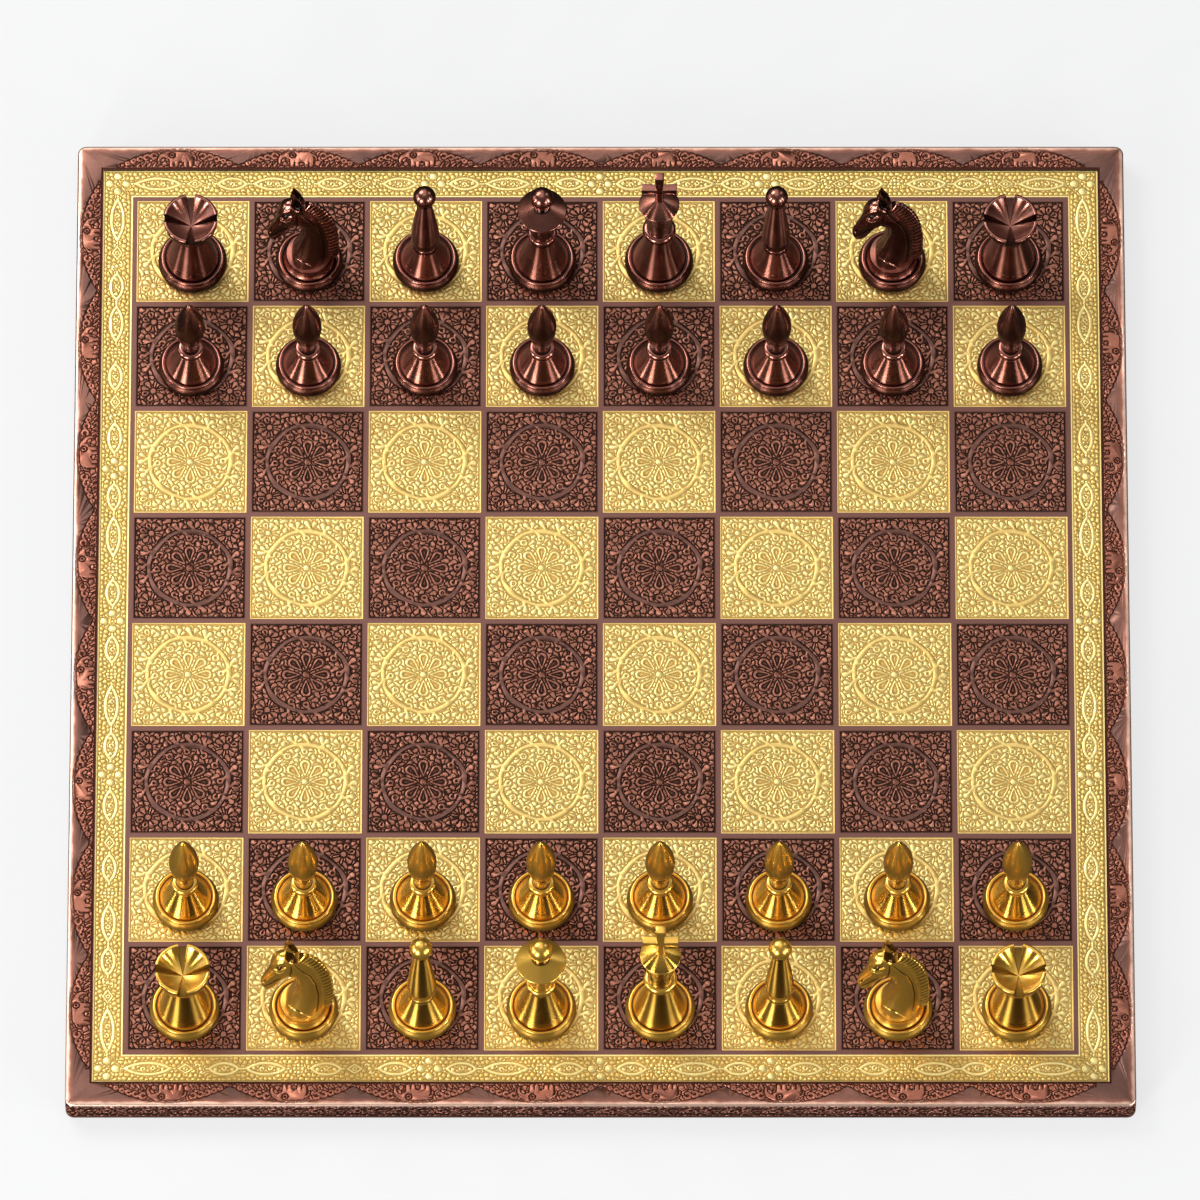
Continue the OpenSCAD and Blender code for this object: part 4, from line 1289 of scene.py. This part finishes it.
# %% Outlines of pawn, bishop, queen, king and rook
PAWN_FOOT, BISHOP_FOOT, ROYAL_FOOT, KNIGHT_FOOT = 11.2, 11.4, 11.75, 11.6


def pawn_outline():
    top = 18.0
    return (foot(PAWN_FOOT) + cone(PAWN_FOOT, 3.5, 15.4) + collar(4.6, 15.4, 2.6, 3.5, 2.9)[1:]
            + curve((2.9, top + 0.3), (3.0, top + 5), (5, 27.5), (5, 33.5))
            + curve((5, 33.5), (5, 39), (2.5, 46.4), (0.25, 49.8))[1:] + [(0, 50)])


def bishop_outline():
    ball_r, neck, height = 3.85, 2.15, 56
    ball_z = height - ball_r
    ball_foot = -math.degrees(math.acos(neck / ball_r))
    meet = ball_z + ball_r * math.sin(math.radians(ball_foot))
    return (foot(BISHOP_FOOT) + cone(BISHOP_FOOT, 3.9, 16.6) + arc(3.9, 16.95, 0.35, -60, 90, 6)
            + curve((3.65, 17.5), (4.5, 18), (4.9, 18.9), (4.9, 20.5), 8)
            + curve((4.9, 20.5), (4.9, 27.5), (neck + 1.2, ball_z - 14), (neck, meet))[1:]
            + arc(0, ball_z, ball_r, ball_foot, 88, 20)[1:] + [(0, height)])


def queen_outline():
    ball_r, neck, brim, brim_z, height = 4.05, 2.8, 8.4, 41.6, 55
    ball_z = height - ball_r
    ball_foot = -math.degrees(math.acos(neck / ball_r))
    cap_z = brim_z + 1 + (brim - neck) * 0.42
    return (foot(ROYAL_FOOT) + cone(ROYAL_FOOT, 3.8, 22.8, 0.6) + collar(5.1, 22.8, 2.8, 3.8, 4.1)[1:]
            + curve((4.1, 26.2), (4.2, 33.6), (5.5, brim_z - 3.4), (brim - 0.5, brim_z - 0.5))
            + arc(brim - 0.5, brim_z, 0.5, -60, 70, 8)
            + [(neck + 0.7, cap_z), (neck, cap_z + 0.3)]
            + arc(0, ball_z, ball_r, ball_foot, 88, 20) + [(0, height)])


KING_RIM, KING_RIM_Z, CROSS_WAIST = 6.9, 46.6, 2.2
CAP_Z = KING_RIM_Z + (KING_RIM - CROSS_WAIST / 2) * 0.62


def king_outline():
    return (foot(ROYAL_FOOT) + cone(ROYAL_FOOT, 4, 25.8, 0.6) + collar(5.7, 25.8, 3, 4, 4.3)[1:]
            + curve((4.3, 29.4), (4.4, 36.8), (5.1, KING_RIM_Z - 6), (KING_RIM - 0.4, KING_RIM_Z - 0.4))
            + arc(KING_RIM - 0.4, KING_RIM_Z, 0.4, -50, 60, 6) + [(1.8, CAP_Z), (0, CAP_Z + 0.4)])


ROOK_RIM, ROOK_H, BOWL_D = 9.4, 36, 6.2


def rook_outline():
    x, z = 4.35, 24.4
    rim, height = ROOK_RIM, ROOK_H
    start = cone_start(ROYAL_FOOT), FOOT_H - GROOVE_D
    return (foot(ROYAL_FOOT)
            + [(start[0] - 0.1, start[1] + 0.12)]
            + curve(start, (7.6, 9.5), (x + 1.1, z - 6), (x, z))[1:]
            + arc(x, z + 0.35, 0.35, -60, 60, 6)
            + curve((x + 0.2, z + 0.8), (x + 3.2, z + 2.6), (rim - 0.5, height - 6), (rim, height - 0.3))
            + arc(rim - 0.7, height - 0.5, 0.7, 10, 165, 10, 0.5) + [(0, height - BOWL_D)])


outlines = {"pawn": pawn_outline(), "bishop": bishop_outline(), "queen": queen_outline(),
            "king": king_outline(), "rook": rook_outline()}
print("points in each outline:", {kind: len(outline) for kind, outline in outlines.items()})

# %% [markdown]
# The rook's four slots are sawn in with a slant, from nothing at the bowl's middle to a step through the
# rim, so each shows as a bright wedge. A boolean with four wedges does the same. The king's cross is flat
# plate with flared arms, so it is drawn flat, given its thickness and a bevel.

# %% Cut the rook's slots and make the king's cross
SLOT_W, SLOT_D = 3.6, 2.4
HEAD_LEAST_RELIEF = 0.4
HEAD_Z = 28


def prism(name, outline, thickness):
    """A solid from a flat outline in x and z, with its middle at y = 0."""
    n = len(outline)
    points = [(x * MM, y * thickness * MM, z * MM) for y in (-0.5, 0.5) for x, z in outline]
    faces = [tuple(range(n)), tuple(range(2 * n - 1, n - 1, -1))]
    faces += [(k, n + k, n + (k + 1) % n, (k + 1) % n) for k in range(n)]
    mesh = bpy.data.meshes.new(name)
    mesh.from_pydata(points, [], faces)
    return mesh


def merged(name, *meshes):
    """One mesh out of several, each left as a closed shell of its own."""
    work = bmesh.new()
    for mesh in meshes:
        work.from_mesh(mesh)
    bmesh.ops.recalc_face_normals(work, faces=work.faces)
    result = bpy.data.meshes.new(name)
    work.to_mesh(result)
    work.free()
    for label in ("relief", "lathe"):
        store_values(result, label, np.concatenate([values_of(mesh, label) for mesh in meshes]))
    return result


def slot_wedge(turn):
    """A wedge that opens outwards, with a floor that rises from the bowl's middle to the slot's step."""
    c, s = math.cos(turn), math.sin(turn)
    points = []
    for x, half, z in ((0.3, 0.08, ROOK_H - BOWL_D - 0.1), (ROOK_RIM + 1, SLOT_W / 2, ROOK_H - SLOT_D)):
        points += [(x, -half, z), (x, half, z), (x, half, ROOK_H + 1), (x, -half, ROOK_H + 1)]
    points = [((x * c - y * s) * MM, (x * s + y * c) * MM, z * MM) for x, y, z in points]
    faces = [(3, 2, 1, 0), (4, 5, 6, 7), (0, 1, 5, 4), (1, 2, 6, 5), (2, 3, 7, 6), (3, 0, 4, 7)]
    mesh = bpy.data.meshes.new("wedge")
    mesh.from_pydata(points, [], faces)
    return mesh


def rook_mesh():
    """The turned rook less four wedges. The head, with the slots' new points, is kept at middling relief or
    above, so dirt and painted shade darken it only a little.
    """
    four = merged("wedges", *[slot_wedge(k * math.pi / 2) for k in range(4)])
    wedges = bpy.data.objects.new("wedges", four)
    bpy.context.scene.collection.objects.link(wedges)
    cut = ("BOOLEAN", {"operation": "DIFFERENCE", "solver": "MANIFOLD", "object": wedges})
    mesh = applied(turned_mesh("rook", outlines["rook"]), cut)
    bpy.data.objects.remove(wedges)
    mesh.materials.clear()
    in_head = np.array([point.co.z > HEAD_Z * MM for point in mesh.vertices])
    store_values(mesh, "relief", np.maximum(values_of(mesh, "relief"), HEAD_LEAST_RELIEF * in_head))
    return mesh


CROSS_SPAN, CROSS_FLARE, CROSS_T, CROSS_ARM_H, KING_H = 12, 3.3, 2.7, 8, 68
CROSS_BEVEL = 0.22


def cross_mesh():
    """A cross with flared arms, standing across the king's axis and facing the front."""
    arm_z = CAP_Z + CROSS_ARM_H
    w, f = CROSS_WAIST / 2, CROSS_FLARE / 2
    outline = []
    for turn, length in enumerate((KING_H - arm_z, CROSS_SPAN / 2, CROSS_ARM_H + 1, CROSS_SPAN / 2)):
        for x, z in ((w, w), (f, length), (-f, length)):
            for _ in range(turn):
                x, z = -z, x
            outline.append((x, z + arm_z))
    plate = merged("cross", prism("cross", outline, CROSS_T))
    cross = applied(plate, ("BEVEL", {"width": CROSS_BEVEL * MM, "segments": 2}))
    store_values(cross, "relief", np.ones(len(cross.vertices)))
    store_values(cross, "lathe", np.zeros(len(cross.vertices)))
    return cross


MESHES = {kind: turned_mesh(kind, outlines[kind]) for kind in ("pawn", "bishop", "queen")}
MESHES["king"] = merged("king", turned_mesh("king", outlines["king"]), cross_mesh())
MESHES["rook"] = rook_mesh()
print("faces:", {kind: len(mesh.polygons) for kind, mesh in MESHES.items()})

# %% [markdown]
# ## The knight
# The horse is the one carved shape. Its body is a loft through slices that stand level in the neck and fan
# round the throat into the head. The mane is a second loft whose width swells and shrinks, which makes its
# ridges, and the ears are two more. A voxel remesh melts them into one skin, as a casting is, and eye,
# brow, nostril, mouth and jaw are then pressed into both sides.

# %% The knight's parts
# Each slice is (x, z) at the throat's side, (x, z) at the crest's side, and half its width.
SLICES = [(-6.4, 7.6, 6.7, 7.6, 6.7), (-6.1, 10.4, 6.9, 11.0, 6.1), (-5.1, 13.6, 7.0, 16.0, 5.3),
          (-4.0, 17.0, 6.9, 22.0, 4.5), (-2.9, 21.4, 6.3, 28.6, 3.9), (-2.2, 26.0, 5.1, 35.2, 3.6),
          (-2.0, 30.2, 3.2, 40.6, 3.5), (-2.7, 32.8, 0.6, 44.4, 3.5), (-4.1, 33.2, -2.6, 47.0, 3.5),
          (-5.5, 32.2, -5.6, 48.0, 3.5), (-6.7, 30.4, -8.2, 46.8, 3.4), (-7.6, 28.2, -9.8, 43.2, 3.1),
          (-8.3, 26.0, -10.6, 38.8, 2.8), (-9.2, 24.0, -11.4, 34.4, 2.5), (-10.4, 22.6, -12.6, 30.8, 2.3),
          (-11.8, 22.4, -13.6, 28.0, 2.1), (-13.0, 23.4, -14.0, 26.0, 1.4)]
RIDGES = 21
MANE_H, MANE_HALF = 3.4, 2.5
CREST_STEPS = 12


def smooth_rows(rows, steps):
    """More rows between the given ones, on a curve that passes through them all."""
    rows = np.asarray(rows, float)
    padded = np.vstack([2 * rows[0] - rows[1], rows, 2 * rows[-1] - rows[-2]])
    out = []
    for k in range(1, len(padded) - 2):
        p0, p1, p2, p3 = padded[k - 1:k + 3]
        for t in np.linspace(0, 1, steps, endpoint=False):
            out.append(0.5 * (2 * p1 + (p2 - p0) * t + (2 * p0 - 5 * p1 + 4 * p2 - p3) * t * t
                              + (3 * p1 - p0 - 3 * p2 + p3) * t ** 3))
    return np.array(out + [rows[-1]])


def loft_mesh(name, rings):
    """A closed skin through rings of points in millimetres, capped at both ends."""
    rows, columns = len(rings), len(rings[0])
    points = np.array(rings, float).reshape(-1, 3) * MM
    faces = [(j * columns + k, j * columns + (k + 1) % columns, (j + 1) * columns + (k + 1) % columns,
              (j + 1) * columns + k) for j in range(rows - 1) for k in range(columns)]
    faces += [tuple(range(columns)), tuple((rows - 1) * columns + k for k in range(columns))]
    mesh = bpy.data.meshes.new(name)
    mesh.from_pydata([tuple(p) for p in points], [], faces)
    return mesh


def horse_rings():
    """Rings round the slices: a little squarer than an ellipse, and wider towards the throat."""
    rings = []
    for x0, z0, x1, z1, w in smooth_rows(SLICES, 4):
        a, b = np.array([x0, 0, z0]), np.array([x1, 0, z1])
        ring_points = []
        for t in np.radians((np.arange(40) + 0.5) * 9):
            c, s = math.cos(t), math.sin(t)
            wide = w * math.copysign(abs(s) ** 0.8, s) * (1 - 0.16 * c)
            ring_points.append((a + b) / 2 + (b - a) / 2 * c + np.array([0, wide, 0]))
        rings.append(ring_points)
    return rings


CREST = smooth_rows([(6.6, 4.0)] + [row[2:4] for row in SLICES[:9]], CREST_STEPS)


def crest(t):
    """A point along the crest, from the foot at 0 to behind the ears at 1, and the way it faces out."""
    place = (0.4 + 8.05 * t ** 0.85) * CREST_STEPS
    k = min(int(place), len(CREST) - 2)
    along = CREST[min(k + 3, len(CREST) - 1)] - CREST[max(k - 2, 0)]
    outward = np.array([along[1], -along[0]]) / np.linalg.norm(along)
    return CREST[k] + (CREST[k + 1] - CREST[k]) * (place - k), outward


def mane_rings():
    """Six-sided rings along the crest, wide at each ridge and narrow in each groove."""
    rings = []
    for t in np.linspace(0, 1, RIDGES * 8 + 1):
        ridge = abs(math.sin(math.pi * t * RIDGES)) ** 0.7
        here, out = crest(t)
        root = here - out * 1.6
        tip = here + out * MANE_H * min(1, 0.6 + 5 * t, 0.75 + 4 * (1 - t)) * (0.84 + 0.16 * ridge)
        middle = (root + tip) / 2
        w = MANE_HALF * (0.68 + 0.32 * ridge) * (1 - 0.15 * t)
        down = [(root[0], w, root[1]), (middle[0], w * 0.8, middle[1]), (tip[0], w * 0.3, tip[1])]
        rings.append([(x, -y, z) for x, y, z in down] + down[::-1])
    return rings


def ear_rings(side):
    """Oval rings that shrink to the ear's tip."""
    rings = []
    for u in np.linspace(0, 1, 15):
        w = 2.3 * (1 - u ** 1.7) + 0.1
        x, z = -3.2 - 1.3 * u, 57 - 12.5 * (1 - u)
        y = side * (1.9 + 0.2 * math.sin(math.pi * u) - 0.7 * u)
        angles = np.radians(range(0, 360, 24))
        rings.append([(x + w * math.cos(a), y + w * 0.62 * math.sin(a), z) for a in angles])
    return rings


print("crest:", len(CREST), "points, mane:", RIDGES, "ridges")

# %% [markdown]
# The features of the face are strokes, drawn as the camera sees them and pressed into both sides by how far
# they stand out or sink in. Strokes are quick to move about, and they follow the head's curve without any
# modelling by hand.

# %% Press the face into the sides
# Name, height in millimetres, softness, points as seen from the camera, half widths.
PRESSED = (
    ("brow", 0.5, 0.7, [(-10.1, 15.5), (-7.8, 16.9), (-5.2, 17.9), (-2.8, 17.0)], [0.2, 0.4, 0.45, 0.2]),
    ("socket", -0.6, 0.5, [(-9.2, 15.0), (-7.5, 15.2), (-5.4, 15.6)], [0.15, 0.7, 0.15]),
    ("eye", 0.55, 0.4, [(-7.8, 15.0), (-7.3, 15.1)], [0.42, 0.42]),
    ("lid", 0.3, 0.3, [(-9.3, 14.3), (-7.5, 13.5), (-5.9, 14.0), (-5.0, 15.4)], [0.12, 0.18, 0.18, 0.1]),
    ("nose", 0.45, 0.9, [(-9.5, 12.8), (-12.1, 10.9)], [0.5, 0.6]),
    ("mouth", -0.55, 0.45, [(-12.4, 9.0), (-10.5, 9.8), (-8.6, 11.0), (-7.0, 11.8)], [0.2, 0.28, 0.28, 0.12]),
    ("nostril", -0.4, 0.4, [(-12.9, 10.6), (-12.3, 11.3)], [0.25, 0.25]),
    ("jaw", -0.35, 0.7, [(-5.2, 11.6), (-3.9, 12.6), (-3.4, 14.2), (-3.4, 16.0)], [0.1, 0.25, 0.25, 0.1]),
    ("neck", -0.4, 0.5,
     [(-2.4, 16.2), (0, 14.3), (2.9, 12.3), (4.6, 9.7), (5.4, 6.4), (5.3, 3.2), (4.7, 0.1)],
     [0.12, 0.2, 0.2, 0.2, 0.2, 0.2, 0.12]),
    ("throat", -0.7, 0.6, [(-1.6, 11.6), (-1.9, 9.9), (-3.5, 7.0), (-5.6, 4.4)], [0.15, 0.35, 0.35, 0.15]),
    ("sinew", 0.5, 1.2,
     [(-0.6, 11.4), (-0.3, 9.9), (-1.8, 7.3), (-4.0, 4.8), (-5.2, 3.2)],
     [0.2, 0.4, 0.5, 0.5, 0.2]),
    ("chest", -0.5, 0.4, [(-5.6, 2.9), (-1.5, 0.4), (3.3, -2.0)], [0.12, 0.18, 0.12]),
    ("ear", -0.8, 0.5, [(-3.3, 18.2), (-3.7, 20.4)], [0.75, 0.35]),
)


def face_relief(x, seen):
    """How far the side stands out, in millimetres, and how little dirt and painted shade darken its
    hollows.
    """
    out, unshaded_and_clean = np.zeros(len(x)), np.ones(len(x))
    for _, depth, soft, points, widths in PRESSED:
        mark = smooth(0.5 - stroke(x, seen, points, widths) / soft)
        out += depth * mark
        if depth < 0:
            unshaded_and_clean = np.minimum(unshaded_and_clean, 1 - mark)
    return out, unshaded_and_clean


def mane_grooves(x, z):
    """1 on the mane's ridges and off the mane, down to 0 in the grooves between the ridges."""
    best, groove = np.full(len(x), 9.0), np.ones(len(x))
    for t in np.linspace(0, 1, RIDGES * 8 + 1):
        (cx, cz), (ox, oz) = crest(t)
        reach = (x - cx) * ox + (z - cz) * oz
        miss = np.abs((x - cx) * oz - (z - cz) * ox)
        nearer = (miss < best) & (reach > 0.3) & (reach < MANE_H + 1)
        best[nearer] = miss[nearer]
        groove[nearer] = smooth((abs(math.sin(math.pi * t * RIDGES)) - 0.15) / 0.5)
    return groove


VOXEL = 0.22
HORSE_FACES_KEPT = 0.5


def knight_mesh():
    """Horse, mane and ears melted into one skin, with the face pressed into its sides."""
    parts = [loft_mesh("horse", horse_rings()), loft_mesh("mane", mane_rings())]
    parts += [loft_mesh("ear", ear_rings(side)) for side in (-1, 1)]
    mesh = applied(merged("knight", *parts), ("REMESH", {"mode": "VOXEL", "voxel_size": VOXEL * MM}),
                   ("SMOOTH", {"factor": 0.5, "iterations": 2}))
    count = len(mesh.vertices)
    points, normals = np.empty(3 * count, np.float32), np.empty(3 * count, np.float32)
    mesh.vertices.foreach_get("co", points)
    mesh.vertex_normals.foreach_get("vector", normals)
    points, normals = points.reshape(-1, 3) / MM, normals.reshape(-1, 3)
    side = smooth((np.abs(normals[:, 1]) - 0.25) / 0.35)
    seen = points[:, 2] * math.cos(tilt) - np.abs(points[:, 1]) * math.sin(tilt)
    out, unshaded_and_clean = face_relief(points[:, 0], seen)
    # Low relief in the face's hollows and the mane's grooves gives them the deep colour: dirt and painted
    # shade.
    unshaded_and_clean = np.minimum(1 - (1 - unshaded_and_clean) * side, mane_grooves(points[:, 0], points[:, 2]))
    points += normals * (out * side)[:, None]
    mesh.vertices.foreach_set("co", (points * MM).astype(np.float32).ravel())
    mesh.update()
    store_values(mesh, "relief", unshaded_and_clean)
    return applied(mesh, ("SMOOTH", {"factor": 0.5, "iterations": 1}),
                   ("DECIMATE", {"ratio": HORSE_FACES_KEPT}))


def plinth_outline():
    """The knight's foot and the low plinth that the horse stands on."""
    top = FOOT_H + 3.2
    return (foot(KNIGHT_FOOT) + [(8.6, FOOT_H)]
            + curve((8.6, FOOT_H), (7.9, FOOT_H + 1), (7.7, FOOT_H + 1.6), (7.6, top), 8)[1:] + [(0, top)])


MESHES["knight"] = knight_mesh()
MESHES["plinth"] = turned_mesh("plinth", plinth_outline())
print("knight:", len(MESHES["knight"].polygons), "faces")

# %% [markdown]
# ## Set up the men
# Every man stands on its square a little nearer the front, as in the picture. The copper men share the gold
# men's meshes with another metal. A felt disc is glued under each foot.

# %% Helpers for setting up the men
STAND_OFF = 5.0
DISC_INSET = 0.6
BACK_ROW = ("rook_a", "knight_b", "bishop_c", "queen", "king", "bishop_f", "knight_g", "rook_h")
FEET = {"pawn": PAWN_FOOT, "bishop": BISHOP_FOOT, "knight": KNIGHT_FOOT}


def disc_outline(r):
    """A felt disc with a rounded lower edge, under a foot of widest radius r."""
    edge, round_r = r - FOOT_TUCK - DISC_INSET, 0.12
    rounded = arc(edge - round_r, round_r, round_r, -90, 0, 4)
    return [(0, 0), (edge - round_r, 0)] + rounded + [(edge, DISC_T), (0, DISC_T)]


def stand(name, mesh, metal, body, column, row):
    """Stands a piece on its square."""
    man = add_piece(name, mesh, metal, body, body)
    x, y = square_centre(column, row)
    man.location = (x * MM, (y - STAND_OFF) * MM, PLAY_Z * MM)
    return man


def smooth_round_parts(mesh, cast):
    """Keeps the brushed metal on the straight cones, and gives beads, buds and balls the smooth one."""
    mesh.materials.append(cast)
    straight = values_of(mesh, "lathe")
    for face in mesh.polygons:
        face.material_index = int(straight[list(face.vertices)].mean() < 0.5)


DISC_RADII = (PAWN_FOOT, BISHOP_FOOT, KNIGHT_FOOT, ROYAL_FOOT)
discs = {r: turned_mesh("felt_disc", disc_outline(r)) for r in DISC_RADII}
print("felt discs under feet of", DISC_RADII)

# %% Set up the men
SIDES = {"gold": (0, 1, gold_turned, gold_cast, "polished_gold"),
         "copper": (7, 6, copper_turned, copper_cast, "antique_copper")}
for side, (back, front, turned, cast, slot) in SIDES.items():
    meshes = {kind: mesh.copy() for kind, mesh in MESHES.items()}
    men = [(name, name.split("_")[0], column, back) for column, name in enumerate(BACK_ROW)]
    men += [(f"pawn_{FILES[column]}", "pawn", column, front) for column in range(SQUARES)]
    for name, kind, column, row in men:
        body = f"{side}_{name}"
        if kind == "knight":
            stand(body + "_horse", meshes["knight"], cast, body, column, row)
            stand(body + "_foot", meshes["plinth"], turned, body, column, row)
        else:
            stand(body + "_casting", meshes[kind], turned, body, column, row)
        stand(body + "_felt", discs[FEET.get(kind, ROYAL_FOOT)], felt, body, column, row)
    for kind, mesh in meshes.items():
        if kind != "knight":
            smooth_round_parts(mesh, cast)
    print(side, "side:", len(men), "men")
